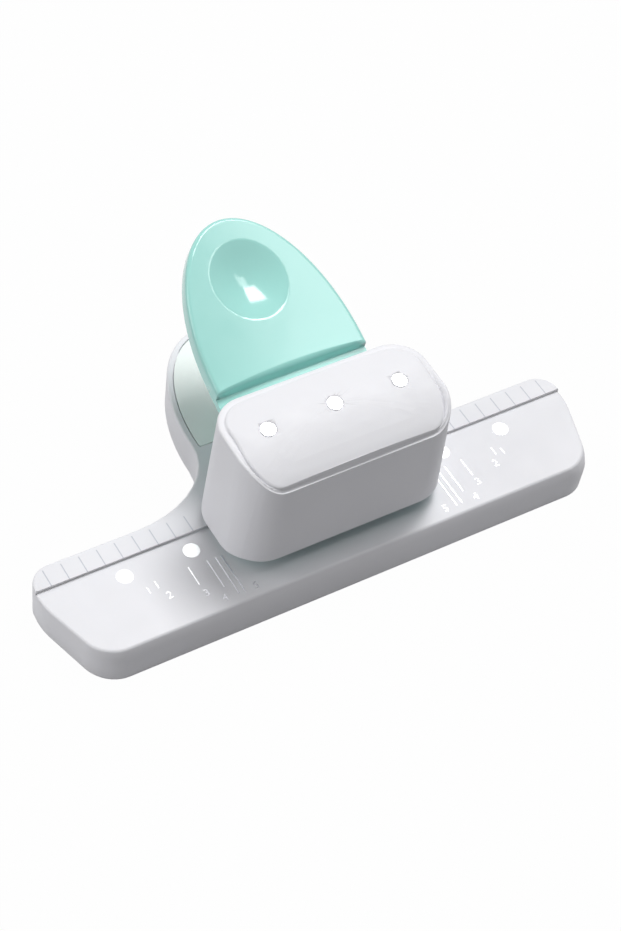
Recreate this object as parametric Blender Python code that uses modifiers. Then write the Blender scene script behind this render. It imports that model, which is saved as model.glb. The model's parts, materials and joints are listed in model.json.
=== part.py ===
"""Three-hole punch for small ring binders, modelled as its separate pieces.

Pieces are drawn from a point on the table under the middle punch and then moved so
that the origin lies under the middle of the whole outline. X runs along the ruler
bar, Y points to the thumb lever and Z points up. All lengths are in metres.
"""
import math

import bmesh
import bpy
from mathutils import Matrix, Vector

# Clearances and shared values
SEAT_GAP = 0.0003
RUNNING_GAP = 0.00005
OVERRUN = 0.004
ARC_STEPS = 5
OUTER_ARC_STEPS = 10
ROUND_SIDES = 24
SCREW_SIDES = 16
SMOOTH_DEGREES = 30.0

# Ruler bar of the base
BAR_HALF_LENGTH = 0.0794
BAR_FRONT = 0.0200
BAR_BACK = 0.0113
BAR_END_KNEE = 0.0010
BAR_END_SLANT = 0.0067
BAR_KNEE_RADIUS = 0.0200
BAR_FRONT_RADIUS = 0.0095
BAR_BACK_RADIUS = 0.0062
BAR_FRONT_FLARE = 0.0017
BAR_END_BULGE = 0.0010
BAR_WALL_SHARES = ((0.2, 0.5, 0.6), (0.45, 0.85, 1.0), (1.0, 1.0, 0.45))
FOOT_STAND = 0.0005
PLATE_TOP = 0.01035
PAPER_STEP = 0.0010
PAPER_STOP = 0.00475
TICK_PITCH = 0.0050
TICK_FIRST = 0.0350
TICK_COUNT = 9
TICK_WIDTH = 0.0003
TICK_DEPTH = 0.00012
TICK_END = 0.0100
BASE_EDGE_ROUND = 0.0006

# Neck and rear lobe of the base
LOBE_CENTRE = 0.0300
LOBE_HALF_WIDTH = 0.0220
LOBE_REACH = 0.0370
NECK_SPREAD = 0.0260
LOBE_STEPS = 22
NECK_STEPS = 9
RIM_WIDTH = 0.0020
PANEL_THICKNESS = 0.0015
PANEL_SINK = 0.0001
PANEL_CORNER = 0.0007
PANEL_PEG_RADIUS = 0.0012
PANEL_PEG_LENGTH = 0.0022
PANEL_PEG_SPACING = 0.0200

# Hollow underside of the base
BASE_WALL = 0.0020
RABBET_WALL = 0.0013
CEILING = 0.0080
CHAMBER_LEDGE = 0.0040
CHAMBER_WALL = 0.0014
CHAMBER_NECK_HALF_WIDTH = 0.0196
CHAMBER_SHOULDER = 0.0095
CHAMBER_NECK_START = 0.0172
CHAMBER_REAR = 0.0278
CHAMBER_CORNER = 0.0025
RIB_THICKNESS = 0.0012
RIB_PITCH = 0.0125
RIB_COUNT = 3

# Bottom plate and chip cover
BOTTOM_THICKNESS = 0.0015
COVER_THICKNESS = 0.0014
COVER_SCREW_ROOM = 0.0052
COVER_FRONT = 0.0166
COVER_SHOULDER = 0.0090
COVER_NECK_HALF_WIDTH = 0.0172
COVER_NECK_START = 0.0158
COVER_REAR = 0.0262
COVER_CORNER = 0.0030
COVER_FRONT_CORNER = 0.0008
COVER_HINGE_BACKSET = 0.0011
COVER_HINGE_HEIGHT = 0.0020
COVER_SWING_ROOM = 0.0010
HINGE_STUB_RADIUS = 0.0009
HINGE_EAR_WIDTH = 0.0022
HINGE_EAR_RADIUS = 0.0017
HINGE_LUG_WIDTH = 0.0014
HINGE_LUG_RADIUS = 0.0013
FINGER_NOTCH_RADIUS = 0.0045

# Rubber feet
FOOT_RADIUS = 0.0050
FOOT_THICKNESS = 0.0010
FOOT_CHAMFER = 0.0002
BAR_FOOT_INSET = 0.0134
BAR_FOOT_Y = 0.0050
LOBE_FOOT_X = 0.0090
LOBE_FOOT_Y = 0.0480

# Punches
HOLE_PITCH = 0.0190
PUNCH_RADIUS = 0.0020
PUNCH_TOP = 0.0269
PUNCH_CROWN = 0.0005
PUNCH_TIP_HOLLOW = 0.0009
PUNCH_TIP_REST = 0.0003
GROOVE_DEPTH = 0.0005
GROOVE_WIDTH = 0.0008
GROOVE_FROM_TOP = 0.0016
CLIP_THICKNESS = 0.0006
CLIP_OUTER_RADIUS = 0.0036
CLIP_MOUTH_DEGREES = 80.0
CLIP_STEPS = 14
CHIP_HOLE_RADIUS = 0.0030

# Die plate
DIE_END = 0.0060
DIE_HALF_DEPTH = 0.0041
DIE_THICKNESS = 0.0010
DIE_CORNER = 0.0012

# Punch frame
THROAT_HEIGHT = 0.00225
FRAME_SLAB = 0.0030
FRAME_WALL_GAP = 0.0005
GUIDE_BOSS_RADIUS = 0.0034
GUIDE_BOSS_HEIGHT = 0.0014
POST_X = 0.0094
POST_THICKNESS = 0.0022
POST_RADIUS = 0.0027
POST_FOOT = 0.0064
COLUMN_HALF_WIDTH = 0.0200
COLUMN_DEPTH = 0.0045
COLUMN_HEIGHT = 0.0040
COLUMN_ROUND = 0.0015

# Springs
SPRING_WIRE_RADIUS = 0.0003
SPRING_RADIUS = 0.0028
SPRING_TURNS = 5
SPRING_POINTS_PER_TURN = 10

# Lever pivot and press rod
PIVOT_BACKSET = 0.0090
PIVOT_HEIGHT = 0.0270
SWING_DEGREES = 25.0
PIN_RADIUS = 0.0015
PIN_HEAD_RADIUS = 0.0024
PIN_HEAD_THICKNESS = 0.0011
PIN_TAIL = 0.0009
ROD_RADIUS = 0.0020
ROD_END = 0.0015
ROD_CHAMFER = 0.0003

# Thumb lever
LEVER_TILT_DEGREES = 20.3
LEVER_THICKNESS = 0.0060
LEVER_TOP = 0.0045
LEVER_HALF_WIDTH = 0.0220
LEVER_FRONT = 0.0015
LEVER_FRONT_CORNER = 0.0020
LEVER_BEND = 0.0348
LEVER_REACH = 0.0420
LEVER_STEPS = 22
LEVER_EDGE_ROUND = 0.0012
LEVER_SKIRT = 0.0022
LEVER_POCKET_DEPTH = 0.0018
LEVER_POCKET_START = 0.0090
LEVER_RIB_X = 0.0075
LEVER_RIB_THICKNESS = 0.0012
HUB_RADIUS = 0.0029
HUB_HALF_WIDTH = 0.0160
HUB_SLOT_GAP = 0.0003
HUB_SLOT_REACH = 0.0044
THUMB_CENTRE = 0.0236
THUMB_HALF_WIDTH = 0.0108
THUMB_HALF_LENGTH = 0.0122
THUMB_DEPTH = 0.0027
THUMB_SOFTNESS = 1.35
THUMB_RING_SHARES = (0.2, 0.4, 0.56, 0.7, 0.82, 0.92)
THUMB_SIDES = 28
SCOOP_DEPTH = 0.0028
SCOOP_SIDE = 0.0032
SCOOP_FOOT_ARCH = 0.0016
SCOOP_RUN = 0.0013
SCOOP_RUN_ARCH = 0.0037
SCOOP_ROLL_SHARES = ((0.0, 0.0), (0.12, 0.08), (0.24, 0.42), (0.36, 0.68), (0.52, 0.86), (0.74, 0.97),
                     (1.0, 1.0))
ROD_EYE_WALL = 0.0011
ROD_EYE_INNER = 0.0053
ROD_EYE_OUTER = 0.0137
SCOOP_STEPS = 14

# Cap
CAP_SIDE_MARGIN = 0.0127
CAP_FRONT = 0.0147
CAP_REAR = 0.0150
CAP_BOTTOM = 0.0132
CAP_FRONT_RADIUS = 0.0105
CAP_REAR_RADIUS = 0.0110
CAP_SIDE_DRAFT_DEGREES = 3.2
CAP_WALL = 0.0018
CAP_SPLIT_SHARES = (0.0, 0.34, 0.67)
CAP_EDGE_ROUND = 0.0006
CAP_EDGE_STEPS = 3
RIM_TOP = 0.0470
RIM_REAR_RISE = 0.0004
RIM_BROW_START = 0.0050
RIM_BROW_FALL = 0.0113
COVE_SHARES = ((0.35, 0.03), (0.72, 0.3), (1.0, 1.0))
CROWN_INSET = 0.0019
CROWN_EDGE_ROUND = 0.0007
CROWN_TOP = 0.0490
CROWN_SIDE_FALL = 0.0013
CROWN_REAR_FALL = 0.0009
CROWN_BROW_START = 0.0010
CROWN_BROW_FALL = 0.0159
CROWN_RING_SHARES = (0.9, 0.76, 0.58, 0.32)
HOLLOW_RING_SHARES = (0.85, 0.66, 0.4)
LEVER_SLOT_GAP = 0.0012
LEVER_SLOT_TOP = 0.0386
LEVER_SLOT_CORNER = 0.0030
HOLE_MARK_RADIUS = 0.0023
HOLE_MARK_DEPTH = 0.0004

# Screws
SCREW_RADIUS = 0.0011
SCREW_HOLE_GAP = 0.0002
THREAD_GAP = 0.00005
SCREW_HEAD_RADIUS = 0.0021
SCREW_HEAD_THICKNESS = 0.0012
SCREW_HEAD_ROUND = 0.0004
BOSS_RADIUS = 0.0025
SIDE_SCREW_INSET = 0.0045
SIDE_SCREW_Y = 0.0078
SIDE_SCREW_BITE = 0.0060
COLUMN_SCREW_X = 0.0100
COLUMN_SCREW_BITE = 0.0062

# Places worked out from the sizes above
BAR_FRONT_HALF_LENGTH = BAR_HALF_LENGTH - BAR_END_SLANT
BAR_FOOT_X = BAR_HALF_LENGTH - BAR_FOOT_INSET
BAR_BULGE_START = BAR_BACK - BAR_BACK_RADIUS
CAP_HALF_WIDTH = HOLE_PITCH + CAP_SIDE_MARGIN
SIDE_SCREW_X = CAP_HALF_WIDTH - SIDE_SCREW_INSET
COVER_HALF_WIDTH = SIDE_SCREW_X - COVER_SCREW_ROOM
CHAMBER_HALF_WIDTH = COVER_HALF_WIDTH + CHAMBER_LEDGE
DIE_HALF_LENGTH = HOLE_PITCH + DIE_END
ROD_HALF_LENGTH = HOLE_PITCH + ROD_END
CAP_SLOPE = math.tan(math.radians(CAP_SIDE_DRAFT_DEGREES))
STRIP_TOP = PLATE_TOP + PAPER_STEP
FRAME_LOW = PLATE_TOP + THROAT_HEIGHT
FRAME_HIGH = FRAME_LOW + FRAME_SLAB
GUIDE_TOP = FRAME_HIGH + GUIDE_BOSS_HEIGHT
BOTTOM_TOP = FOOT_STAND + BOTTOM_THICKNESS
RABBET_TOP = BOTTOM_TOP + SEAT_GAP
RIB_LOW = RABBET_TOP + SEAT_GAP
COVER_HINGE_Y = -COVER_FRONT + COVER_HINGE_BACKSET
GROOVE_TOP = PUNCH_TOP - GROOVE_FROM_TOP
CLIP_LOW = GROOVE_TOP - GROOVE_WIDTH / 2 - CLIP_THICKNESS / 2
LEVER_TILT = math.radians(LEVER_TILT_DEGREES)
HALF_SWING = math.radians(SWING_DEGREES) / 2
ROD_ARM = PIVOT_BACKSET / math.cos(HALF_SWING)
ROD_ANGLE = HALF_SWING - LEVER_TILT
ROD_ALONG = ROD_ARM * math.cos(ROD_ANGLE)
ROD_RISE = ROD_ARM * math.sin(ROD_ANGLE)
OUTLINE_MIDDLE = (LOBE_CENTRE + LOBE_REACH - BAR_FRONT - BAR_FRONT_FLARE) / 2
HOLE_PLACES = (("left", -HOLE_PITCH), ("middle", 0.0), ("right", HOLE_PITCH))

# Colours as red, green, blue in linear light
WHITE_ABS = (0.80, 0.80, 0.82)
PALE_ABS = (0.76, 0.80, 0.79)
MINT_ABS = (0.42, 0.74, 0.69)
STEEL = (0.55, 0.56, 0.58)
SPRING_STEEL = (0.40, 0.41, 0.43)
RUBBER = (0.10, 0.10, 0.11)


def clear_scene():
    for thing in list(bpy.data.objects):
        bpy.data.objects.remove(thing, do_unlink=True)


def make_collection(name):
    group = bpy.data.collections.new(name)
    bpy.context.scene.collection.children.link(group)
    return group


def make_material(name, colour, roughness, metallic):
    material = bpy.data.materials.new(name)
    material.use_nodes = True
    shader = material.node_tree.nodes["Principled BSDF"]
    shader.inputs["Base Color"].default_value = (*colour, 1.0)
    shader.inputs["Roughness"].default_value = roughness
    shader.inputs["Metallic"].default_value = metallic
    return material


def add_part(name, bm, look):
    """Finish a bmesh as a visible piece."""
    part = add_object(name, bm, PARTS)
    part.data.materials.append(make_material(name, *look))
    return part


def add_guide(name, bm):
    """Finish a bmesh as a shape that only cuts or joins other pieces."""
    guide = add_object(name, bm, GUIDES)
    guide.hide_render = True
    guide.display_type = "WIRE"
    return guide


def add_object(name, bm, group):
    bmesh.ops.recalc_face_normals(bm, faces=bm.faces)
    if bm.calc_volume(signed=True) < 0:
        bmesh.ops.reverse_faces(bm, faces=bm.faces)
    mesh = bpy.data.meshes.new(name)
    bm.to_mesh(mesh)
    bm.free()
    mesh.shade_smooth()
    mesh.set_sharp_from_angle(angle=math.radians(SMOOTH_DEGREES))
    thing = bpy.data.objects.new(name, mesh)
    group.objects.link(thing)
    return thing


def combine(target, operation, *others):
    for other in others:
        step = target.modifiers.new(other.name, "BOOLEAN")
        step.operation = operation
        step.object = other
        step.solver = "EXACT"


def cut(target, *cutters):
    combine(target, "DIFFERENCE", *cutters)


def join(target, *others):
    combine(target, "UNION", *others)


def keep_inside(target, *others):
    combine(target, "INTERSECT", *others)


def rounded(corners, steps=ARC_STEPS):
    """Turn (x, y, radius) corners into points, each corner an arc of its radius."""
    points = []
    count = len(corners)
    for index, (x, y, radius) in enumerate(corners):
        here = Vector((x, y))
        if radius == 0:
            points.append((x, y))
            continue
        before = (Vector(corners[index - 1][:2]) - here).normalized()
        after = (Vector(corners[(index + 1) % count][:2]) - here).normalized()
        half = before.angle(after) / 2
        centre = here + (before + after).normalized() * radius / math.sin(half)
        start = here + before * radius / math.tan(half) - centre
        turn = (here + after * radius / math.tan(half) - centre).angle_signed(start)
        for step in range(steps + 1):
            spoke = start.copy()
            spoke.rotate(Matrix.Rotation(turn * step / steps, 2))
            points.append(tuple(centre + spoke))
    return points


def both_sides(right):
    """Close an outline whose right half runs from the front to the rear."""
    left = [(-x, y, radius) for x, y, radius in reversed(right) if x > 0]
    return right + left


def prism(points, low, high, belts=(), top_round=0.0, low_round=0.0, sharp=None):
    """Raise an outline from low to high, with rounded rims where asked.

    Belts are further outlines above the first, each with its height, the last at the top.
    """
    bm = bmesh.new()
    rings = [[bm.verts.new((x, y, height)) for x, y in ring]
             for ring, height in [(points, low), *(belts or [(points, high)])]]
    floor = rings[0]
    roof = rings[-1]
    bm.faces.new(floor)
    bm.faces.new(roof)
    count = len(points)
    for below, above in zip(rings, rings[1:]):
        for index in range(count):
            after = (index + 1) % count
            bm.faces.new((below[index], below[after], above[after], above[index]))
    bmesh.ops.recalc_face_normals(bm, faces=bm.faces)
    for ring, width, steps in ((set(roof), top_round, 3), (set(floor), low_round, 2)):
        if width > 0:
            rim = [edge for edge in bm.edges
                   if set(edge.verts) <= ring and not (sharp and sharp(edge))]
            bmesh.ops.bevel(bm, geom=rim, offset=width, offset_type="OFFSET", segments=steps,
                            profile=0.5, affect="EDGES", clamp_overlap=True, material=-1)
    return bm


def ring_loft(columns, tip):
    """Skin level columns of points, from a flat first ring to a single tip."""
    bm = bmesh.new()
    grid = [[bm.verts.new(point) for point in column] for column in columns]
    end = bm.verts.new(tip)
    bm.faces.new([column[0] for column in grid])
    for here, after in zip(grid, grid[1:] + grid[:1]):
        for level in range(len(here) - 1):
            bm.faces.new((here[level], after[level], after[level + 1], here[level + 1]))
        bm.faces.new((here[-1], after[-1], end))
    bmesh.ops.triangulate(bm, faces=bm.faces)
    return bm


def side_prism(corners, left, right, steps=ARC_STEPS):
    """Extrude a (y, z, radius) profile along X."""
    bm = prism(rounded(corners, steps), left, right)
    swap = Matrix(((0, 0, 1, 0), (1, 0, 0, 0), (0, 1, 0, 0), (0, 0, 0, 1)))
    bmesh.ops.transform(bm, matrix=swap, verts=bm.verts)
    return bm


def block(low, high):
    """A box between two corners."""
    bm = bmesh.new()
    size = Vector(high) - Vector(low)
    middle = (Vector(high) + Vector(low)) / 2
    bmesh.ops.create_cube(bm, size=1.0)
    bmesh.ops.scale(bm, vec=size, verts=bm.verts)
    bmesh.ops.translate(bm, vec=middle, verts=bm.verts)
    return bm


def rod(radius, start, end, sides=ROUND_SIDES, chamfer=0.0):
    """A round bar between two points."""
    bm = bmesh.new()
    run = Vector(end) - Vector(start)
    turn = run.to_track_quat("Z", "Y").to_matrix().to_4x4()
    place = Matrix.Translation((Vector(end) + Vector(start)) / 2)
    bmesh.ops.create_cone(bm, cap_ends=True, segments=sides, radius1=radius, radius2=radius,
                          depth=run.length, matrix=place @ turn)
    if chamfer > 0:
        rims = [edge for edge in bm.edges if any(len(face.verts) > 4 for face in edge.link_faces)]
        bmesh.ops.bevel(bm, geom=rims, offset=chamfer, offset_type="OFFSET", segments=1,
                        profile=0.5, affect="EDGES", clamp_overlap=True, material=-1)
    return bm


def turned(name, profile, look, steps=ROUND_SIDES):
    """Turn an (r, z) profile, listed from top to bottom, about Z."""
    mesh = bpy.data.meshes.new(name)
    points = [(radius, 0.0, height) for radius, height in profile]
    edges = [(index, index + 1) for index in range(len(points) - 1)]
    mesh.from_pydata(points, edges, [])
    part = bpy.data.objects.new(name, mesh)
    PARTS.objects.link(part)
    part.data.materials.append(make_material(name, *look))
    screw = part.modifiers.new("turn", "SCREW")
    screw.axis = "Z"
    screw.steps = steps
    screw.render_steps = steps
    screw.use_merge_vertices = True
    screw.merge_threshold = 0.00001
    screw.use_smooth_shade = True
    return part


def clip_ring(inner, outer, low, high, centre_x=0.0):
    """An open C-shaped retaining clip, its mouth towards the front."""
    half_mouth = math.radians(CLIP_MOUTH_DEGREES) / 2
    points = []
    for radius, ways in ((outer, range(CLIP_STEPS + 1)), (inner, range(CLIP_STEPS, -1, -1))):
        for step in ways:
            angle = -math.pi / 2 + half_mouth
            angle += (2 * math.pi - 2 * half_mouth) * step / CLIP_STEPS
            points.append((centre_x + radius * math.cos(angle), radius * math.sin(angle)))
    return prism(points, low, high)


# Outlines


def base_outline(inset=0.0):
    """The base's plan, drawn in from its wall by an inset."""
    corners = [
        (BAR_FRONT_HALF_LENGTH - inset, -BAR_FRONT + inset, BAR_FRONT_RADIUS - inset),
        (BAR_HALF_LENGTH - inset, BAR_END_KNEE, BAR_KNEE_RADIUS),
        (BAR_HALF_LENGTH - inset, BAR_BACK - inset, BAR_BACK_RADIUS - inset),
    ]
    spread = NECK_SPREAD + inset
    depth = LOBE_CENTRE - BAR_BACK + inset
    middle = LOBE_HALF_WIDTH + NECK_SPREAD
    for step in range(NECK_STEPS):
        turn = math.pi / 2 * step / NECK_STEPS
        corners.append((middle - spread * math.sin(turn), LOBE_CENTRE - depth * math.cos(turn), 0))
    return both_sides(corners + lobe_corners(inset))


def lobe_corners(inset):
    corners = []
    for step in range(LOBE_STEPS + 1):
        turn = math.pi / 2 * step / LOBE_STEPS
        across = (LOBE_HALF_WIDTH - inset) * math.cos(turn)
        if step == LOBE_STEPS:
            across = 0.0
        corners.append((across, LOBE_CENTRE + (LOBE_REACH - inset) * math.sin(turn), 0))
    return corners


def panel_outline(inset):
    front = (LOBE_HALF_WIDTH - inset, LOBE_CENTRE - RIM_WIDTH / 2 + inset - RIM_WIDTH, PANEL_CORNER)
    return rounded(both_sides([front] + lobe_corners(inset)))


def chamber_outline():
    return rounded(both_sides([
        (CHAMBER_HALF_WIDTH, -BAR_FRONT + BASE_WALL, CHAMBER_CORNER),
        (CHAMBER_HALF_WIDTH, CHAMBER_SHOULDER, CHAMBER_CORNER),
        (CHAMBER_NECK_HALF_WIDTH, CHAMBER_NECK_START, CHAMBER_CORNER),
        (CHAMBER_NECK_HALF_WIDTH, CHAMBER_REAR, CHAMBER_CORNER),
    ]))


def cover_outline(grow=0.0, front_room=0.0):
    return rounded(both_sides([
        (COVER_HALF_WIDTH + grow, -COVER_FRONT - grow - front_room, COVER_FRONT_CORNER),
        (COVER_HALF_WIDTH + grow, COVER_SHOULDER, COVER_CORNER),
        (COVER_NECK_HALF_WIDTH + grow, COVER_NECK_START, COVER_CORNER),
        (COVER_NECK_HALF_WIDTH + grow, COVER_REAR + grow, COVER_CORNER),
    ]))


def cap_outline(inset=0.0, steps=ARC_STEPS, split_shares=()):
    """The cap's plan, its long sides split at shares of their half length where asked."""
    splits = [(CAP_HALF_WIDTH - CAP_REAR_RADIUS) * share for share in split_shares]
    front = [(x, -CAP_FRONT + inset, 0) for x in splits]
    rear = [(x, CAP_REAR - inset, 0) for x in reversed(splits)]
    corners = [(CAP_HALF_WIDTH - inset, -CAP_FRONT + inset, CAP_FRONT_RADIUS - inset),
               (CAP_HALF_WIDTH - inset, CAP_REAR - inset, CAP_REAR_RADIUS - inset)]
    return rounded(both_sides(front + corners + rear), steps)


def cap_prism(inset, low, high):
    """The cap's plan raised with its draft, measured from the cap's bottom edge."""
    low_inset = inset + (low - CAP_BOTTOM) * CAP_SLOPE
    high_inset = inset + (high - CAP_BOTTOM) * CAP_SLOPE
    return prism(cap_outline(low_inset), low, high, [(cap_outline(high_inset), high)])


# Base and what closes it


def front_half(points, limit, keep_front):
    """Clip an outline at a line across it."""
    kept = []
    count = len(points)
    for index in range(count):
        here = points[index]
        after = points[(index + 1) % count]
        here_in = (here[1] < limit) == keep_front
        after_in = (after[1] < limit) == keep_front
        if here_in:
            kept.append(here)
        if here_in != after_in:
            share = (limit - here[1]) / (after[1] - here[1])
            kept.append((here[0] + (after[0] - here[0]) * share, limit))
    return kept


def swollen(point, front_share, end_share):
    """A point of the bar's outline moved out where the wall swells below the plate."""
    x, y = point
    run = min(1.0, max(0.0, (BAR_BULGE_START - y) / (BAR_FRONT / 2)))
    out = BAR_END_BULGE * end_share * math.sin(run * math.pi / 2)
    grow = BAR_FRONT_FLARE * front_share / BAR_FRONT
    return x * (1 + out / BAR_HALF_LENGTH), y * (1 + grow) if y < 0 else y


def base_body():
    outline = rounded(base_outline(), OUTER_ARC_STEPS)
    lap = PAPER_STOP + PAPER_STEP
    front_top = front_half(outline, lap, True)
    belts = [(front_top, PLATE_TOP)]
    for down, front_share, end_share in BAR_WALL_SHARES:
        height = PLATE_TOP + (FOOT_STAND - PLATE_TOP) * down
        belts.insert(0, ([swollen(point, front_share, end_share) for point in front_top], height))
    front_low = belts.pop(0)[0]

    def at_lap(edge):
        return all(abs(vert.co.y - lap) < RUNNING_GAP for vert in edge.verts)

    def at_stop(edge):
        return all(abs(vert.co.y - PAPER_STOP) < RUNNING_GAP for vert in edge.verts)

    base = add_part("base_body", prism(front_low, FOOT_STAND, PLATE_TOP, belts,
                                       top_round=BASE_EDGE_ROUND, sharp=at_lap), WHITE_LOOK)
    rear = front_half(outline, PAPER_STOP, False)
    join(base, add_guide("base_rear", prism(rear, FOOT_STAND, STRIP_TOP,
                                            top_round=BASE_EDGE_ROUND, sharp=at_stop)))
    cut(base, add_guide("ruler_ticks", ruler_ticks()))

    low = FOOT_STAND - OVERRUN
    rabbet = rounded(base_outline(RABBET_WALL))
    cut(base, add_guide("bottom_rabbet", prism(rabbet, low, RABBET_TOP)))
    cut(base, add_guide("chip_chamber", prism(chamber_outline(), low, CEILING)))
    wing = [
        (CHAMBER_HALF_WIDTH + CHAMBER_WALL, -BAR_FRONT + BASE_WALL, CHAMBER_CORNER),
        (BAR_FRONT_HALF_LENGTH - BASE_WALL, -BAR_FRONT + BASE_WALL, BAR_FRONT_RADIUS - BASE_WALL),
        (BAR_HALF_LENGTH - BASE_WALL, BAR_END_KNEE, BAR_KNEE_RADIUS),
        (BAR_HALF_LENGTH - BASE_WALL, BAR_BACK - BASE_WALL, BAR_BACK_RADIUS - BASE_WALL),
        (CHAMBER_HALF_WIDTH + CHAMBER_WALL, BAR_BACK - BASE_WALL, CHAMBER_CORNER),
    ]
    for side, sign in (("left", -1), ("right", 1)):
        corners = [(sign * x, y, radius) for x, y, radius in wing][::sign]
        hollow = add_guide("wing_hollow_" + side, prism(rounded(corners), low, CEILING))
        for index in range(RIB_COUNT):
            x = sign * (CHAMBER_HALF_WIDTH + RIB_PITCH * (index + 1))
            rib = block((x - RIB_THICKNESS / 2, -BAR_FRONT - OVERRUN, RIB_LOW),
                        (x + RIB_THICKNESS / 2, BAR_BACK + OVERRUN, CEILING + OVERRUN))
            cut(hollow, add_guide("wing_rib_%s_%d" % (side, index + 1), rib))
        cut(base, hollow)
    bay_start = CHAMBER_REAR + CHAMBER_WALL
    lobe = [point for point in panel_outline(BASE_WALL) if point[1] > bay_start]
    cut(base, add_guide("lobe_hollow", prism(lobe, low, CEILING)))
    for side, sign in (("left", -1), ("right", 1)):
        x = sign * SIDE_SCREW_X
        join(base, add_guide("base_boss_" + side,
                             rod(BOSS_RADIUS, (x, SIDE_SCREW_Y, RIB_LOW),
                                 (x, SIDE_SCREW_Y, CEILING + SEAT_GAP))))
    return base


def ruler_ticks():
    """Fine grooves across the ruler strip, alike on both halves."""
    bm = bmesh.new()
    for index in range(TICK_COUNT):
        x = TICK_FIRST + TICK_PITCH * index
        for middle in (-x, x):
            low = Vector((middle - TICK_WIDTH / 2, PAPER_STOP - OVERRUN, STRIP_TOP - TICK_DEPTH))
            high = Vector((middle + TICK_WIDTH / 2, TICK_END, STRIP_TOP + OVERRUN))
            size = Matrix.Diagonal((*(high - low), 1))
            place = Matrix.Translation((high + low) / 2)
            bmesh.ops.create_cube(bm, size=1.0, matrix=place @ size)
    return bm


def seat_pieces_in_base(base):
    recess = panel_outline(RIM_WIDTH - SEAT_GAP)
    floor = STRIP_TOP - PANEL_SINK - PANEL_THICKNESS - SEAT_GAP
    cut(base, add_guide("panel_recess", prism(recess, floor, STRIP_TOP + OVERRUN)))
    die = [(DIE_HALF_LENGTH + SEAT_GAP, -DIE_HALF_DEPTH - SEAT_GAP, DIE_CORNER),
           (DIE_HALF_LENGTH + SEAT_GAP, DIE_HALF_DEPTH + SEAT_GAP, DIE_CORNER)]
    low = PLATE_TOP - DIE_THICKNESS - SEAT_GAP
    cut(base, add_guide("die_recess", prism(rounded(both_sides(die)), low, PLATE_TOP + OVERRUN)))
    for place, x in HOLE_PLACES:
        cut(base, add_guide("chip_hole_" + place,
                            rod(CHIP_HOLE_RADIUS, (x, 0, CEILING - OVERRUN), (x, 0, PLATE_TOP))))
    for place, y in peg_places():
        cut(base, add_guide("peg_hole_" + place,
                            rod(PANEL_PEG_RADIUS + SEAT_GAP, (0, y, CEILING - OVERRUN),
                                (0, y, STRIP_TOP))))


def peg_places():
    middle = LOBE_CENTRE + LOBE_REACH / 2
    return (("front", middle - PANEL_PEG_SPACING / 2), ("rear", middle + PANEL_PEG_SPACING / 2))


def lobe_panel():
    top = STRIP_TOP - PANEL_SINK
    panel = add_part("lobe_panel", prism(panel_outline(RIM_WIDTH), top - PANEL_THICKNESS, top,
                                         top_round=PANEL_SINK), PALE_LOOK)
    for place, y in peg_places():
        low = top - PANEL_THICKNESS - PANEL_PEG_LENGTH
        join(panel, add_guide("panel_peg_" + place,
                              rod(PANEL_PEG_RADIUS, (0, y, low), (0, y, top - PANEL_THICKNESS / 2))))


def foot_places():
    return (("bar_left", -BAR_FOOT_X, -BAR_FOOT_Y), ("bar_right", BAR_FOOT_X, -BAR_FOOT_Y),
            ("lobe_left", -LOBE_FOOT_X, LOBE_FOOT_Y), ("lobe_right", LOBE_FOOT_X, LOBE_FOOT_Y))


def bottom_plate():
    plate = add_part("bottom_plate",
                     prism(rounded(base_outline(RABBET_WALL + SEAT_GAP)), FOOT_STAND, BOTTOM_TOP),
                     WHITE_LOOK)
    for side, sign in (("left", -1), ("right", 1)):
        inner = sign * (COVER_HALF_WIDTH - HINGE_LUG_WIDTH)
        outer = sign * (COVER_HALF_WIDTH + SEAT_GAP + HINGE_EAR_WIDTH)
        corners = [(COVER_HINGE_Y - HINGE_EAR_RADIUS, FOOT_STAND + SEAT_GAP, 0),
                   (COVER_HINGE_Y + HINGE_EAR_RADIUS, FOOT_STAND + SEAT_GAP, 0),
                   (COVER_HINGE_Y + HINGE_EAR_RADIUS, COVER_HINGE_HEIGHT + HINGE_EAR_RADIUS,
                    HINGE_EAR_RADIUS - SEAT_GAP),
                   (COVER_HINGE_Y - HINGE_EAR_RADIUS, COVER_HINGE_HEIGHT + HINGE_EAR_RADIUS,
                    HINGE_EAR_RADIUS - SEAT_GAP)]
        join(plate, add_guide("hinge_ear_" + side, side_prism(corners, min(inner, outer),
                                                              max(inner, outer))))
    hatch = prism(cover_outline(SEAT_GAP, COVER_SWING_ROOM), FOOT_STAND - OVERRUN,
                  BOTTOM_TOP + OVERRUN)
    cut(plate, add_guide("hatch_opening", hatch))
    bore = rod(HINGE_STUB_RADIUS + RUNNING_GAP, (-CHAMBER_HALF_WIDTH, COVER_HINGE_Y, COVER_HINGE_HEIGHT),
               (CHAMBER_HALF_WIDTH, COVER_HINGE_Y, COVER_HINGE_HEIGHT))
    cut(plate, add_guide("hinge_bore", bore))
    for place, x, y in foot_places():
        depth = FOOT_THICKNESS + SEAT_GAP
        cut(plate, add_guide("foot_recess_" + place,
                             rod(FOOT_RADIUS + SEAT_GAP, (x, y, FOOT_STAND - OVERRUN),
                                 (x, y, depth))))
    return plate


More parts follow.
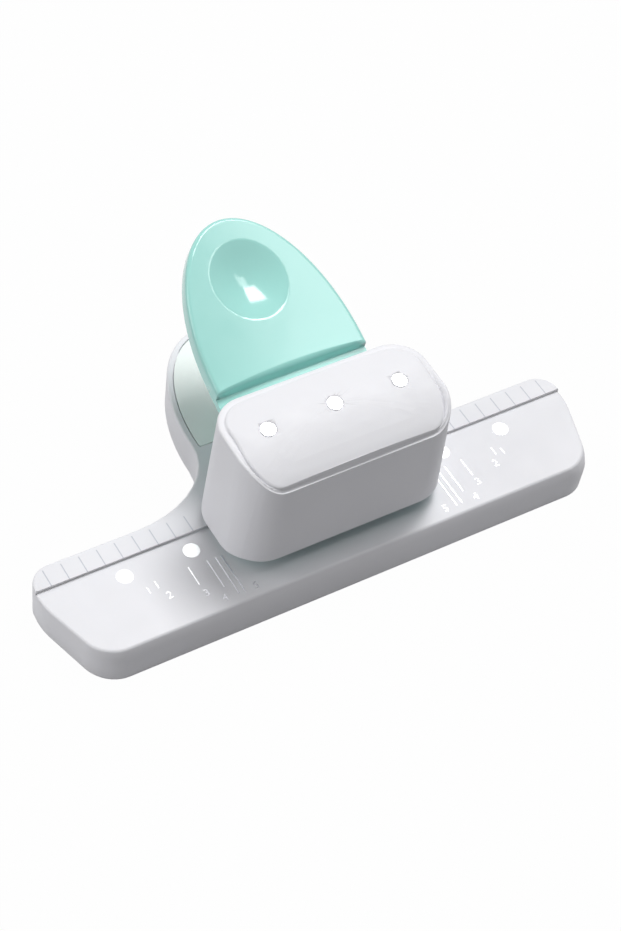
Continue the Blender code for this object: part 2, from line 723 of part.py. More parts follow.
def chip_cover():
    top = FOOT_STAND + COVER_THICKNESS
    cover = add_part("chip_cover", prism(cover_outline(), FOOT_STAND, top), WHITE_LOOK)
    hinge = Vector((0, COVER_HINGE_Y, COVER_HINGE_HEIGHT))
    for side, sign in (("left", -1), ("right", 1)):
        outer = sign * (COVER_HALF_WIDTH - SEAT_GAP)
        inner = outer - sign * HINGE_LUG_WIDTH
        corners = [(COVER_HINGE_Y - HINGE_LUG_RADIUS / 2, FOOT_STAND + SEAT_GAP, 0),
                   (COVER_HINGE_Y + HINGE_LUG_RADIUS, FOOT_STAND + SEAT_GAP, 0),
                   (COVER_HINGE_Y + HINGE_LUG_RADIUS, COVER_HINGE_HEIGHT + HINGE_LUG_RADIUS,
                    HINGE_LUG_RADIUS - SEAT_GAP),
                   (COVER_HINGE_Y - HINGE_LUG_RADIUS / 2, COVER_HINGE_HEIGHT + HINGE_LUG_RADIUS,
                    HINGE_LUG_RADIUS / 2)]
        join(cover, add_guide("cover_lug_" + side, side_prism(corners, min(inner, outer),
                                                              max(inner, outer))))
        tip = sign * (COVER_HALF_WIDTH + HINGE_EAR_WIDTH)
        middle = (inner + outer) / 2
        join(cover, add_guide("cover_stub_" + side,
                              rod(HINGE_STUB_RADIUS, (middle, hinge.y, hinge.z),
                                  (tip, hinge.y, hinge.z))))
    notch = rod(FINGER_NOTCH_RADIUS, (0, COVER_REAR + FINGER_NOTCH_RADIUS / 2, FOOT_STAND - OVERRUN),
                (0, COVER_REAR + FINGER_NOTCH_RADIUS / 2, FOOT_STAND + COVER_THICKNESS / 2))
    cut(cover, add_guide("finger_notch", notch))


def rubber_feet():
    for place, x, y in foot_places():
        foot = add_part("foot_" + place, rod(FOOT_RADIUS, (0, 0, 0), (0, 0, FOOT_THICKNESS),
                                             chamfer=FOOT_CHAMFER), RUBBER_LOOK)
        foot.location = (x, y, 0)


# Punching mechanism


def die_plate():
    corners = [(DIE_HALF_LENGTH, -DIE_HALF_DEPTH, DIE_CORNER),
               (DIE_HALF_LENGTH, DIE_HALF_DEPTH, DIE_CORNER)]
    die = add_part("die_plate", prism(rounded(both_sides(corners)), PLATE_TOP - DIE_THICKNESS,
                                      PLATE_TOP), STEEL_LOOK)
    for place, x in HOLE_PLACES:
        cut(die, add_guide("die_hole_" + place,
                           rod(PUNCH_RADIUS + RUNNING_GAP, (x, 0, PLATE_TOP - DIE_THICKNESS - OVERRUN),
                               (x, 0, PLATE_TOP + OVERRUN))))


def frame_slab(low, high):
    return prism(cap_outline(CAP_WALL + FRAME_WALL_GAP), low, high)


def punch_frame():
    frame = add_part("punch_frame", frame_slab(FRAME_LOW, FRAME_HIGH), MINT_LOOK)
    foot_low = STRIP_TOP + SEAT_GAP
    foot_outline = cap_outline(CAP_WALL + FRAME_WALL_GAP + SEAT_GAP)
    behind_stop = front_half(foot_outline, PAPER_STOP + SEAT_GAP, False)
    foot = prism(behind_stop, foot_low, FRAME_LOW + FRAME_SLAB / 2)
    join(frame, add_guide("frame_foot", foot))
    for place, x in HOLE_PLACES:
        join(frame, add_guide("guide_boss_" + place,
                              rod(GUIDE_BOSS_RADIUS, (x, 0, FRAME_LOW + FRAME_SLAB / 2),
                                  (x, 0, GUIDE_TOP))))
    for side, sign in (("left", -1), ("right", 1)):
        middle = sign * POST_X
        top = PIVOT_HEIGHT + POST_RADIUS
        low = FRAME_HIGH - FRAME_SLAB / 2
        corners = [(-PIVOT_BACKSET - POST_RADIUS, low, 0),
                   (-PIVOT_BACKSET + POST_FOOT, low, 0),
                   (-PIVOT_BACKSET + POST_RADIUS, PIVOT_HEIGHT, 0),
                   (-PIVOT_BACKSET + POST_RADIUS, top, POST_RADIUS - SEAT_GAP),
                   (-PIVOT_BACKSET - POST_RADIUS, top, POST_RADIUS - SEAT_GAP)]
        join(frame, add_guide("pivot_post_" + side,
                              side_prism(corners, middle - POST_THICKNESS / 2,
                                         middle + POST_THICKNESS / 2)))
    rear = CAP_REAR - CAP_WALL - FRAME_WALL_GAP
    column = [(COLUMN_HALF_WIDTH, rear - COLUMN_DEPTH, COLUMN_ROUND),
              (COLUMN_HALF_WIDTH, rear, COLUMN_ROUND)]
    join(frame, add_guide("frame_column", prism(rounded(both_sides(column)),
                                                FRAME_HIGH - FRAME_SLAB / 2,
                                                FRAME_HIGH + COLUMN_HEIGHT)))
    for place, x in HOLE_PLACES:
        cut(frame, add_guide("guide_bore_" + place,
                             rod(PUNCH_RADIUS + RUNNING_GAP, (x, 0, FRAME_LOW - OVERRUN),
                                 (x, 0, GUIDE_TOP + OVERRUN))))
    bore = rod(PIN_RADIUS + RUNNING_GAP, (-CAP_HALF_WIDTH, -PIVOT_BACKSET, PIVOT_HEIGHT),
               (CAP_HALF_WIDTH, -PIVOT_BACKSET, PIVOT_HEIGHT))
    cut(frame, add_guide("post_bore", bore))
    return frame


def punches():
    radius = PUNCH_RADIUS
    tip = FRAME_LOW + PUNCH_TIP_REST
    waist = radius - GROOVE_DEPTH
    profile = [(0, PUNCH_TOP), (radius - PUNCH_CROWN, PUNCH_TOP), (radius, PUNCH_TOP - PUNCH_CROWN),
               (radius, GROOVE_TOP), (waist, GROOVE_TOP), (waist, GROOVE_TOP - GROOVE_WIDTH),
               (radius, GROOVE_TOP - GROOVE_WIDTH), (radius, tip), (0, tip + PUNCH_TIP_HOLLOW)]
    for place, x in HOLE_PLACES:
        punch = turned("punch_" + place, profile, STEEL_LOOK)
        punch.location = (x, 0, 0)
        clip = add_part("punch_clip_" + place,
                        clip_ring(waist + RUNNING_GAP, CLIP_OUTER_RADIUS, CLIP_LOW,
                                  CLIP_LOW + CLIP_THICKNESS), STEEL_LOOK)
        clip.location = (x, 0, 0)
        spring = return_spring("punch_spring_" + place)
        spring.location = (x, 0, 0)


def least_coil_gap(points):
    """Smallest clear space between turns of a coil given by its centre line."""
    apart = SPRING_POINTS_PER_TURN // 2
    nearest = min((points[later] - points[first]).length
                  for first in range(len(points))
                  for later in range(first + apart, len(points)))
    return nearest - 2 * SPRING_WIRE_RADIUS


def return_spring(name):
    low = GUIDE_TOP + SPRING_WIRE_RADIUS + RUNNING_GAP
    high = CLIP_LOW - SPRING_WIRE_RADIUS - RUNNING_GAP
    curve = bpy.data.curves.new(name, "CURVE")
    curve.dimensions = "3D"
    curve.bevel_depth = SPRING_WIRE_RADIUS
    curve.bevel_resolution = 1
    curve.use_fill_caps = True
    count = SPRING_TURNS * SPRING_POINTS_PER_TURN
    spline = curve.splines.new("POLY")
    spline.points.add(count)
    points = []
    for step in range(count + 1):
        turn = 2 * math.pi * step / SPRING_POINTS_PER_TURN
        height = low + (high - low) * step / count
        points.append(Vector((SPRING_RADIUS * math.cos(turn), SPRING_RADIUS * math.sin(turn),
                              height)))
        spline.points[step].co = (*points[-1], 1)
    print(name, "least gap between turns in metres:", round(least_coil_gap(points), 6))
    spring = bpy.data.objects.new(name, curve)
    PARTS.objects.link(spring)
    curve.materials.append(make_material(name, *SPRING_LOOK))
    return spring


def pivot_pin():
    end = HUB_HALF_WIDTH + SEAT_GAP
    waist = PIN_RADIUS - GROOVE_DEPTH
    groove = end + GROOVE_WIDTH
    profile = [(0, groove + PIN_TAIL), (PIN_RADIUS, groove + PIN_TAIL), (PIN_RADIUS, groove),
               (waist, groove), (waist, end), (PIN_RADIUS, end), (PIN_RADIUS, -end),
               (PIN_HEAD_RADIUS, -end), (PIN_HEAD_RADIUS, -end - PIN_HEAD_THICKNESS),
               (0, -end - PIN_HEAD_THICKNESS)]
    pin = turned("pivot_pin", profile, STEEL_LOOK)
    middle = end + GROOVE_WIDTH / 2
    clip = add_part("pivot_clip", clip_ring(waist + RUNNING_GAP, PIN_HEAD_RADIUS,
                                            middle - CLIP_THICKNESS / 2,
                                            middle + CLIP_THICKNESS / 2), STEEL_LOOK)
    for piece in (pin, clip):
        piece.location = (0, -PIVOT_BACKSET, PIVOT_HEIGHT)
        piece.rotation_euler = (0, math.pi / 2, 0)


# Lever, drawn along its own slope from the pivot


def on_lever(*pieces):
    for piece in pieces:
        piece.location = (0, -PIVOT_BACKSET, PIVOT_HEIGHT)
        piece.rotation_euler = (LEVER_TILT, 0, 0)


def lever_outline(inset=0.0, start=LEVER_FRONT):
    half = LEVER_HALF_WIDTH - inset
    reach = LEVER_REACH - inset
    lag = max(0.0, (start - LEVER_BEND) / reach)
    first = math.asin(lag)
    corners = [(half * math.cos(first), start, LEVER_FRONT_CORNER)]
    if start < LEVER_BEND:
        corners.append((half, LEVER_BEND, 0))
    for step in range(1, LEVER_STEPS + 1):
        turn = first + (math.pi / 2 - first) * step / LEVER_STEPS
        across = half * math.cos(turn)
        if step == LEVER_STEPS:
            across = 0.0
        along = LEVER_BEND + reach * math.sin(turn)
        if along > start + LEVER_FRONT_CORNER:
            corners.append((across, along, 0))
    return rounded(both_sides(corners))


def scoop_cutter():
    """What is missing before the thumb plate: a level ledge and an arched roll behind it."""
    reach = LEVER_HALF_WIDTH + SEAT_GAP
    floor = LEVER_TOP - SCOOP_DEPTH
    bm = bmesh.new()
    rings = []
    for step in range(SCOOP_STEPS + 1):
        x = -reach + 2 * reach * step / SCOOP_STEPS
        arch = 1 - (x / reach) ** 2
        foot = LEVER_BEND - SCOOP_SIDE + SCOOP_FOOT_ARCH * arch
        run = SCOOP_RUN + SCOOP_RUN_ARCH * arch
        rise = SCOOP_DEPTH + RUNNING_GAP
        profile = [(-OVERRUN, floor)]
        for run_share, rise_share in SCOOP_ROLL_SHARES:
            profile.append((foot + run * run_share, floor + rise * rise_share))
        profile.append((foot + run, LEVER_TOP + OVERRUN))
        profile.append((-OVERRUN, LEVER_TOP + OVERRUN))
        rings.append([bm.verts.new((x, y, z)) for y, z in profile])
    bm.faces.new(rings[0])
    bm.faces.new(rings[-1])
    for here, after in zip(rings, rings[1:]):
        for index in range(len(here)):
            other = (index + 1) % len(here)
            bm.faces.new((here[index], here[other], after[other], after[index]))
    return bm


def thumb_cutter():
    """A shallow oval bowl whose rim runs out softly into the thumb plate."""
    columns = []
    for side in range(THUMB_SIDES):
        turn = 2 * math.pi * side / THUMB_SIDES
        across = THUMB_HALF_WIDTH * math.cos(turn)
        along = THUMB_HALF_LENGTH * math.sin(turn)
        column = [Vector((across, along, LEVER_TOP + OVERRUN)),
                  Vector((across, along, LEVER_TOP + RUNNING_GAP))]
        for share in reversed(THUMB_RING_SHARES):
            depth = THUMB_DEPTH * (1 - share ** 2) ** THUMB_SOFTNESS
            column.append(Vector((across * share, along * share, LEVER_TOP - depth)))
        columns.append(column)
    bm = ring_loft(columns, Vector((0, 0, LEVER_TOP - THUMB_DEPTH)))
    bmesh.ops.translate(bm, vec=(0, LEVER_BEND + THUMB_CENTRE, 0), verts=bm.verts)
    return bm


def lever():
    low = LEVER_TOP - LEVER_THICKNESS
    body = add_part("lever", prism(lever_outline(), low, LEVER_TOP, top_round=LEVER_EDGE_ROUND,
                                   low_round=LEVER_EDGE_ROUND), MINT_LOOK)
    start = LEVER_BEND + LEVER_POCKET_START
    outline = lever_outline(LEVER_SKIRT, start)
    pocket = add_guide("lever_pocket", prism(outline, low - OVERRUN, low + LEVER_POCKET_DEPTH))
    for side, sign in (("left", -1), ("right", 1)):
        x = sign * LEVER_RIB_X
        rib = block((x - LEVER_RIB_THICKNESS / 2, 0, low),
                    (x + LEVER_RIB_THICKNESS / 2, LEVER_BEND + LEVER_REACH, LEVER_TOP))
        guide = add_guide("lever_rib_" + side, rib)
        on_lever(guide)
        cut(pocket, guide)
    hub = add_guide("lever_hub", rod(HUB_RADIUS, (-HUB_HALF_WIDTH, 0, 0), (HUB_HALF_WIDTH, 0, 0)))
    scoop = add_guide("lever_scoop", scoop_cutter())
    thumb = add_guide("thumb_dimple", thumb_cutter())
    groove = add_guide("rod_groove", rod(ROD_RADIUS + RUNNING_GAP,
                                         (-ROD_HALF_LENGTH - SEAT_GAP, ROD_ALONG, ROD_RISE),
                                         (ROD_HALF_LENGTH + SEAT_GAP, ROD_ALONG, ROD_RISE)))
    bore = add_guide("hub_bore", rod(PIN_RADIUS + RUNNING_GAP, (-LEVER_HALF_WIDTH, 0, 0),
                                     (LEVER_HALF_WIDTH, 0, 0)))
    on_lever(body, pocket, hub, scoop, thumb, groove, bore)
    cut(body, scoop, thumb, pocket)
    join(body, hub)
    for side, sign in (("left", -1), ("right", 1)):
        eye = add_guide("rod_eye_" + side, rod(ROD_RADIUS + ROD_EYE_WALL,
                                               (sign * ROD_EYE_INNER, ROD_ALONG, ROD_RISE),
                                               (sign * ROD_EYE_OUTER, ROD_ALONG, ROD_RISE)))
        on_lever(eye)
        join(body, eye)
    cut(body, groove, bore)
    for side, sign in (("left", -1), ("right", 1)):
        x = sign * POST_X
        half = POST_THICKNESS / 2 + HUB_SLOT_GAP
        slot = add_guide("post_slot_" + side, block((x - half, -HUB_RADIUS - OVERRUN, low - OVERRUN),
                                                    (x + half, HUB_SLOT_REACH, LEVER_TOP + OVERRUN)))
        near = sign * HUB_HALF_WIDTH
        far = sign * (LEVER_HALF_WIDTH + OVERRUN)
        relief = add_guide("pin_end_relief_" + side,
                           block((min(near, far), -HUB_RADIUS - OVERRUN, low - OVERRUN),
                                 (max(near, far), HUB_SLOT_REACH, LEVER_TOP + OVERRUN)))
        on_lever(slot, relief)
        cut(body, slot, relief)


def press_rod():
    bar = add_part("press_rod", rod(ROD_RADIUS, (-ROD_HALF_LENGTH, ROD_ALONG, ROD_RISE),
                                    (ROD_HALF_LENGTH, ROD_ALONG, ROD_RISE), chamfer=ROD_CHAMFER),
                   STEEL_LOOK)
    on_lever(bar)


# Cap


def rim_height(y):
    """Height of the cap's outer rim, near level at the rear and falling over the brow."""
    brow = max(0.0, -RIM_BROW_START - y) / (CAP_FRONT - RIM_BROW_START)
    return RIM_TOP + RIM_REAR_RISE * y / CAP_REAR - RIM_BROW_FALL * brow ** 2


def crown_height(x, y):
    """Height of the raised panel on the cap, falling a little to the sides and over the brow."""
    side = x / CAP_HALF_WIDTH
    rear = max(0.0, y) / CAP_REAR
    brow = max(0.0, -CROWN_BROW_START - y) / (CAP_FRONT - CROWN_BROW_START)
    fall = CROWN_SIDE_FALL * side ** 2 + CROWN_REAR_FALL * rear ** 2
    return CROWN_TOP - fall - CROWN_BROW_FALL * brow ** 3


def cap_columns(section, steps):
    """One column of points for each point of the cap's plan, drawn by a section function."""
    outer = cap_outline(0.0, steps, CAP_SPLIT_SHARES)
    inner = cap_outline(CAP_WALL, steps, CAP_SPLIT_SHARES)
    columns = []
    for foot, drawn_in in zip(outer, inner):
        inward = (Vector(drawn_in) - Vector(foot)) / CAP_WALL
        columns.append(section(Vector(foot), inward))
    return columns


def rim_place(foot, inward):
    """The rim's height and how far the draft has drawn it in, over one point of the plan."""
    lean = (rim_height(foot.y) - CAP_BOTTOM) * CAP_SLOPE
    height = rim_height(foot.y + inward.y * lean)
    return height, (height - CAP_BOTTOM) * CAP_SLOPE


def shell_section(foot, inward):
    """Up the wall, over the rim, through the cove and onto the raised panel."""
    rim, lean = rim_place(foot, inward)
    column = [foot.to_3d() + Vector((0, 0, CAP_BOTTOM))]

    def add(inset, height):
        column.append((foot + inward * inset).to_3d() + Vector((0, 0, height)))

    def panel(inset, drop):
        spot = foot + inward * inset
        add(inset, crown_height(spot.x, spot.y) - drop)

    for step in range(CAP_EDGE_STEPS + 1):
        turn = math.pi / 2 * step / CAP_EDGE_STEPS
        add(lean + CAP_EDGE_ROUND * (1 - math.cos(turn)), rim - CAP_EDGE_ROUND * (1 - math.sin(turn)))
    start = lean + CAP_EDGE_ROUND
    edge = lean + CROWN_INSET
    crest = foot + inward * edge
    top = crown_height(crest.x, crest.y) - CROWN_EDGE_ROUND
    for run_share, rise_share in COVE_SHARES:
        add(start + (edge - start) * run_share, rim + (top - rim) * rise_share)
    for step in range(1, CAP_EDGE_STEPS + 1):
        turn = math.pi / 2 * step / CAP_EDGE_STEPS
        panel(edge + CROWN_EDGE_ROUND * (1 - math.cos(turn)), CROWN_EDGE_ROUND * (1 - math.sin(turn)))
    rim_point = column[-1]
    for share in CROWN_RING_SHARES:
        x, y = rim_point.x * share, rim_point.y * share
        column.append(Vector((x, y, crown_height(x, y))))
    return column


def hollow_height(x, y):
    return crown_height(x, y - CAP_WALL) - CAP_WALL


def hollow_section(foot, inward):
    """The inside of the cap, one wall in from its outer form."""
    rim, lean = rim_place(foot, inward)
    low = CAP_BOTTOM - OVERRUN
    bottom = foot + inward * (CAP_WALL - OVERRUN * CAP_SLOPE)
    edge = foot + inward * (CAP_WALL + lean)
    top = min(rim - CAP_WALL, hollow_height(edge.x, edge.y))
    column = [Vector((bottom.x, bottom.y, low)), Vector((edge.x, edge.y, top))]
    for share in HOLLOW_RING_SHARES:
        x, y = edge.x * share, edge.y * share
        column.append(Vector((x, y, hollow_height(x, y))))
    return column


def cap():
    high = CROWN_TOP + OVERRUN
    form = cap_columns(shell_section, OUTER_ARC_STEPS)
    shell = add_part("cap", ring_loft(form, Vector((0, 0, CROWN_TOP))), WHITE_LOOK)
    hollow = ring_loft(cap_columns(hollow_section, ARC_STEPS), Vector((0, 0, hollow_height(0, 0))))
    cut(shell, add_guide("cap_hollow", hollow))
    for side, sign in (("left", -1), ("right", 1)):
        boss = rod(BOSS_RADIUS, (sign * SIDE_SCREW_X, SIDE_SCREW_Y, FRAME_HIGH + SEAT_GAP),
                   (sign * SIDE_SCREW_X, SIDE_SCREW_Y, RIM_TOP - CAP_WALL / 2))
        boss_guide = add_guide("cap_boss_" + side, boss)
        inside = add_guide("cap_boss_limit_" + side, cap_prism(CAP_WALL / 2, CAP_BOTTOM, high))
        keep_inside(boss_guide, inside)
        join(shell, boss_guide)
    half = LEVER_HALF_WIDTH + LEVER_SLOT_GAP
    slot = [(half, CAP_BOTTOM - OVERRUN, 0), (half, LEVER_SLOT_TOP, LEVER_SLOT_CORNER)]
    bm = prism(rounded(both_sides(slot)), -CAP_REAR - OVERRUN, -CAP_REAR + CAP_REAR_RADIUS / 2)
    bmesh.ops.rotate(bm, cent=(0, 0, 0), matrix=Matrix.Rotation(math.pi / 2, 3, "X"), verts=bm.verts)
    cut(shell, add_guide("lever_slot", bm))
    for place, x in HOLE_PLACES:
        cut(shell, add_guide("hole_mark_" + place,
                             rod(HOLE_MARK_RADIUS, (x, 0, crown_height(x, 0) - HOLE_MARK_DEPTH),
                                 (x, 0, high))))
    return shell


# Screws


def screw(name, x, y, head_low, tip):
    high = head_low + SCREW_HEAD_THICKNESS
    profile = [(0, tip), (SCREW_RADIUS - SCREW_HEAD_ROUND, tip), (SCREW_RADIUS, tip - SCREW_HEAD_ROUND),
               (SCREW_RADIUS, high), (SCREW_HEAD_RADIUS, high),
               (SCREW_HEAD_RADIUS, head_low + SCREW_HEAD_ROUND),
               (SCREW_HEAD_RADIUS - SCREW_HEAD_ROUND, head_low), (0, head_low)]
    part = turned(name, profile, STEEL_LOOK, SCREW_SIDES)
    part.location = (x, y, 0)


def screws(base, plate, frame, shell):
    head_low = FOOT_STAND + PANEL_SINK
    floor = head_low + SCREW_HEAD_THICKNESS + SEAT_GAP
    rear = CAP_REAR - CAP_WALL - FRAME_WALL_GAP
    for side, sign in (("left", -1), ("right", 1)):
        x = sign * SIDE_SCREW_X
        y = SIDE_SCREW_Y
        tip = FRAME_HIGH + SIDE_SCREW_BITE
        screw("side_screw_" + side, x, y, head_low, tip)
        head = rod(SCREW_HEAD_RADIUS + SEAT_GAP, (x, y, FOOT_STAND - OVERRUN), (x, y, floor))
        cut(plate, add_guide("side_screw_counterbore_" + side, head))
        passage = rod(SCREW_RADIUS + SCREW_HOLE_GAP, (x, y, FOOT_STAND - OVERRUN),
                      (x, y, FRAME_HIGH + OVERRUN))
        passage_guide = add_guide("side_screw_passage_" + side, passage)
        for piece in (plate, base, frame):
            cut(piece, passage_guide)
        thread = rod(SCREW_RADIUS + THREAD_GAP, (x, y, CAP_BOTTOM), (x, y, tip + SEAT_GAP))
        cut(shell, add_guide("side_screw_thread_" + side, thread))
        x = sign * COLUMN_SCREW_X
        y = rear - COLUMN_DEPTH / 2
        seat = CEILING + SCREW_HEAD_THICKNESS + SEAT_GAP
        tip = FRAME_LOW + COLUMN_SCREW_BITE
        screw("column_screw_" + side, x, y, CEILING, tip)
        head = rod(SCREW_HEAD_RADIUS + SEAT_GAP, (x, y, CEILING - OVERRUN), (x, y, seat))
        cut(base, add_guide("column_screw_counterbore_" + side, head))
        passage = rod(SCREW_RADIUS + SCREW_HOLE_GAP, (x, y, CEILING), (x, y, STRIP_TOP + OVERRUN / 2))
        cut(base, add_guide("column_screw_passage_" + side, passage))
        thread = rod(SCREW_RADIUS + THREAD_GAP, (x, y, STRIP_TOP - OVERRUN), (x, y, tip + SEAT_GAP))
        cut(frame, add_guide("column_screw_thread_" + side, thread))


WHITE_LOOK = (WHITE_ABS, 0.38, 0.0)
PALE_LOOK = (PALE_ABS, 0.45, 0.0)
MINT_LOOK = (MINT_ABS, 0.22, 0.0)
STEEL_LOOK = (STEEL, 0.30, 1.0)
SPRING_LOOK = (SPRING_STEEL, 0.35, 1.0)
RUBBER_LOOK = (RUBBER, 0.80, 0.0)

clear_scene()
PARTS = make_collection("three_hole_punch")
GUIDES = make_collection("construction_guides")

base_piece = base_body()
seat_pieces_in_base(base_piece)
lobe_panel()
plate_piece = bottom_plate()
chip_cover()
rubber_feet()
die_plate()
frame_piece = punch_frame()
punches()
pivot_pin()
lever()
press_rod()
cap_piece = cap()
screws(base_piece, plate_piece, frame_piece, cap_piece)

for placed in bpy.data.objects:
    placed.location.y -= OUTLINE_MIDDLE
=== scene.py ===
"""Dresses the three-hole punch: plastics, metals, stamped foil, studio light and camera."""

import json
import math

import bmesh
import bpy
from bpy.props import FloatProperty, FloatVectorProperty, PointerProperty
from mathutils import Matrix, Vector


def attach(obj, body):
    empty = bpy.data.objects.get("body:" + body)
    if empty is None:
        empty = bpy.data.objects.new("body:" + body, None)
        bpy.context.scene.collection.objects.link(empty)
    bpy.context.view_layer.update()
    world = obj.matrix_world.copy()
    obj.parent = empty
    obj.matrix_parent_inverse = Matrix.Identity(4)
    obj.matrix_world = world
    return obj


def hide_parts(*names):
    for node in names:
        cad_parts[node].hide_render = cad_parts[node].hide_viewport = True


bl_info = {
    "name": "Three-hole punch dressing",
    "version": (2, 0, 0),
    "blender": (4, 5, 0),
    "location": "View3D > Sidebar > Punch",
    "description": "Materials, stamped marks, light and camera for a three-hole punch",
    "category": "Object",
}

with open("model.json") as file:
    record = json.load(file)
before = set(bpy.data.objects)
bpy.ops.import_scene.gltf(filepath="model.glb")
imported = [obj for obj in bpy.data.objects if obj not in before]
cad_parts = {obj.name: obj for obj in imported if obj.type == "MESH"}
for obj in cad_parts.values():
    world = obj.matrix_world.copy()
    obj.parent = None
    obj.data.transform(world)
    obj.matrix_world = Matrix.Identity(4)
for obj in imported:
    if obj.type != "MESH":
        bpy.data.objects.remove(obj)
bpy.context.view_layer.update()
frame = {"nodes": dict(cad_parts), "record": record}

MM = 0.001
SHELL_NODES = ("base_body", "cap", "bottom_plate", "chip_cover")
MINT_NODES = ("lever", "punch_frame")
STEEL_NODES = ("die_plate", "punch_left", "punch_middle", "punch_right", "press_rod",
               "pivot_pin", "pivot_clip", "punch_clip_left", "punch_clip_middle",
               "punch_clip_right", "side_screw_left", "side_screw_right",
               "column_screw_left", "column_screw_right")
WIRE_NODES = ("punch_spring_left", "punch_spring_middle", "punch_spring_right")
FOOT_NODES = ("foot_bar_left", "foot_bar_right", "foot_lobe_left", "foot_lobe_right")

# The punches' place along Y in the part's frame, in millimetres
PUNCH_LINE = -22.65

# Marks in millimetres, across and along from the middle punch and up from the table
PLATE_TOP = 10.35
DOT_PLACES = (-57.0, -38.0, 38.0, 57.0)
SIZE_LINES = ((51.0, -7.0, -4.5), (41.3, -10.5, -4.4), (36.0, -13.9, -4.6),
              (33.6, -17.2, -4.6), (31.9, -17.4, -4.6))
NUMERAL_PLACES = (("1", -53.6, -6.6), ("2", -49.5, -10.1), ("3", -40.8, -13.5),
                  ("4", -37.3, -16.9), ("5", -28.6, -16.9), ("1", 53.3, -6.9),
                  ("2", 49.2, -9.7), ("3", 41.5, -12.9), ("4", 38.1, -17.0),
                  ("5", 28.6, -16.9))
# The font's size over the height of its numerals
NUMERAL_SIZE_SHARE = 1.4
# Straight edges round a dot or a disc
ROUND_SEGMENTS = 64

# Ink in the ruler's ticks: the first tick's place, the ends along Y, the bottom and the face
TICK_COUNT = 9
TICK_PITCH = 5.0
TICK_FIRST = 35.0
TICK_NEAR = 4.8
TICK_FAR = 9.98
TICK_FLOOR = 11.22
TICK_FACE = 11.34
TICK_WIDTH = 0.29

# Discs in the cap's round seats, whose floors fall from the middle to the cap's sides
CAP_MARK_PLACES = (-19.0, 0.0, 19.0)
CAP_MARK_FLOOR = 48.6
CAP_MARK_FALL = 1.3
CAP_MARK_DEPTH = 0.4

# The cap as the solid has it: its plan from the punches, its lean, and its rim and crown
CAP_HALF_WIDTH = 31.7
CAP_FRONT = 14.7
CAP_REAR = 15.0
CAP_CORNER = 10.5
CAP_FOOT = 13.2
CAP_DRAFT = 0.0559
RIM_LEVEL = 47.0
RIM_BROW_START = 5.0
SOLID_RIM_FALL = 11.3
CROWN_LEVEL = 49.0
CROWN_BROW_START = 1.0
SOLID_CROWN_FALL = 15.9
CROWN_REAR_FALL = 0.9

# The brow as it is drawn here: where it runs, how far it reaches forward and how it falls
BROW_START = 2.5
BROW_END = 13.4
BROW_EASE_SHARE = 0.9
RIM_REACH = 1.9
CROWN_REACH = 3.1
RIM_FALL = 6.3
CROWN_ARC_START = 4.0
CROWN_ARC_SHARE = 0.0167
COVE_RISE = 1.15
FOOT_LIFT = 1.5

# Where the rim, cove, crown and seats end: insets from the wall, depths under the crown
RIM_INSET = 0.6
RIM_HEIGHT_SHARE = 0.9
COVE_MIDDLE_INSET = 1.75
COVE_END_INSET = 1.9
COVE_DEPTH = 2.0
CROWN_INSET = 1.895
CROWN_DEPTH = 0.95
CROWN_FLAT_INSET = 2.65
SEAT_RADIUS = 2.4
SEAT_LIP = 0.2

# Cuts across the cap, set a little off the solid's own edges
SLICE_PITCH = 1.1
SLICE_OFFSET = 0.013
SLICE_TOUCH = 0.001

# The lever's hinge in millimetres, and its tilt at rest
LEVER_TILT_DEGREES = 20.3
PIVOT_Y = -31.65
PIVOT_Z = 27.0

# The roll across the lever: its place along the lever, its run up, and how its middle moves
ROLL_HALF_WIDTH = 22.3
ROLL_LOWEST = 1.6
ROLL_FOOT = 31.6
ROLL_FOOT_ARCH = 1.6
ROLL_RUN = 1.3
ROLL_RUN_ARCH = 3.7
ROLL_MARGIN_SHARE = 0.03
ROLL_FOOT_SHIFT = 1.6
ROLL_RUN_SHIFT = 1.9

# How the solids' triangles are merged, in millimetres and degrees, and how they are shaded
MERGE_DISTANCE = 0.002
FLAT_DEGREES = 0.15
SHARP_DEGREES = 32.0
WIRE_SHARP_DEGREES = 60.0
SHADING_WEIGHT = 50

# Patterns of the finishes in millimetres
FLOW_MARK_SIZE = 18.0
SMEAR_SIZE = 7.0
SINK_WAVE_SIZE = 9.0
SINK_WAVE_DEPTH = 0.012
SATIN_DEPTH = 0.005
MATT_DEPTH = 0.008
POLISH_DEPTH = 0.0006
INK_DEPTH = 0.004
PEBBLE_SIZE = 0.25
PEBBLE_DEPTH = 0.02
# Drawn coarser than real grinding, so that the hairlines show
HAIRLINE_SIZE = 0.12
HAIRLINE_DEPTH = 0.004
STAIN_SIZE = 4.0
FOIL_WEAR_SIZE = 0.8
PAPER_FIBRE_SIZE = 0.6

# Roughness of each finish, from its smoothest to its roughest places
SATIN_GLOSS = (0.5, 0.6)
MATT_GLOSS = (0.42, 0.52)
POLISH_GLOSS = (0.1, 0.14)
RUBBER_GLOSS = (0.7, 0.85)
INK_GLOSS = (0.55, 0.7)
STEEL_GLOSS = (0.22, 0.34)
WIRE_GLOSS = (0.28, 0.4)
FOIL_GLOSS = (0.12, 0.2)
PAPER_GLOSS = 0.9
# The part of a noise's range that a finish uses
NOISE_SPAN = {"From Min": 0.3, "From Max": 0.7}

# How far a pattern takes a colour down or up
FLOW_CONTRAST = 0.012
STAIN_CONTRAST = 0.06
FOIL_CONTRAST = 0.02

# Moulded plastic: its refraction and how light sinks into it
ABS_IOR = 1.53
ABS_GLOW_WEIGHT = 0.06
ABS_GLOW_RADIUS = (1.0, 0.9, 0.8)
ABS_GLOW_DEPTH = 0.8

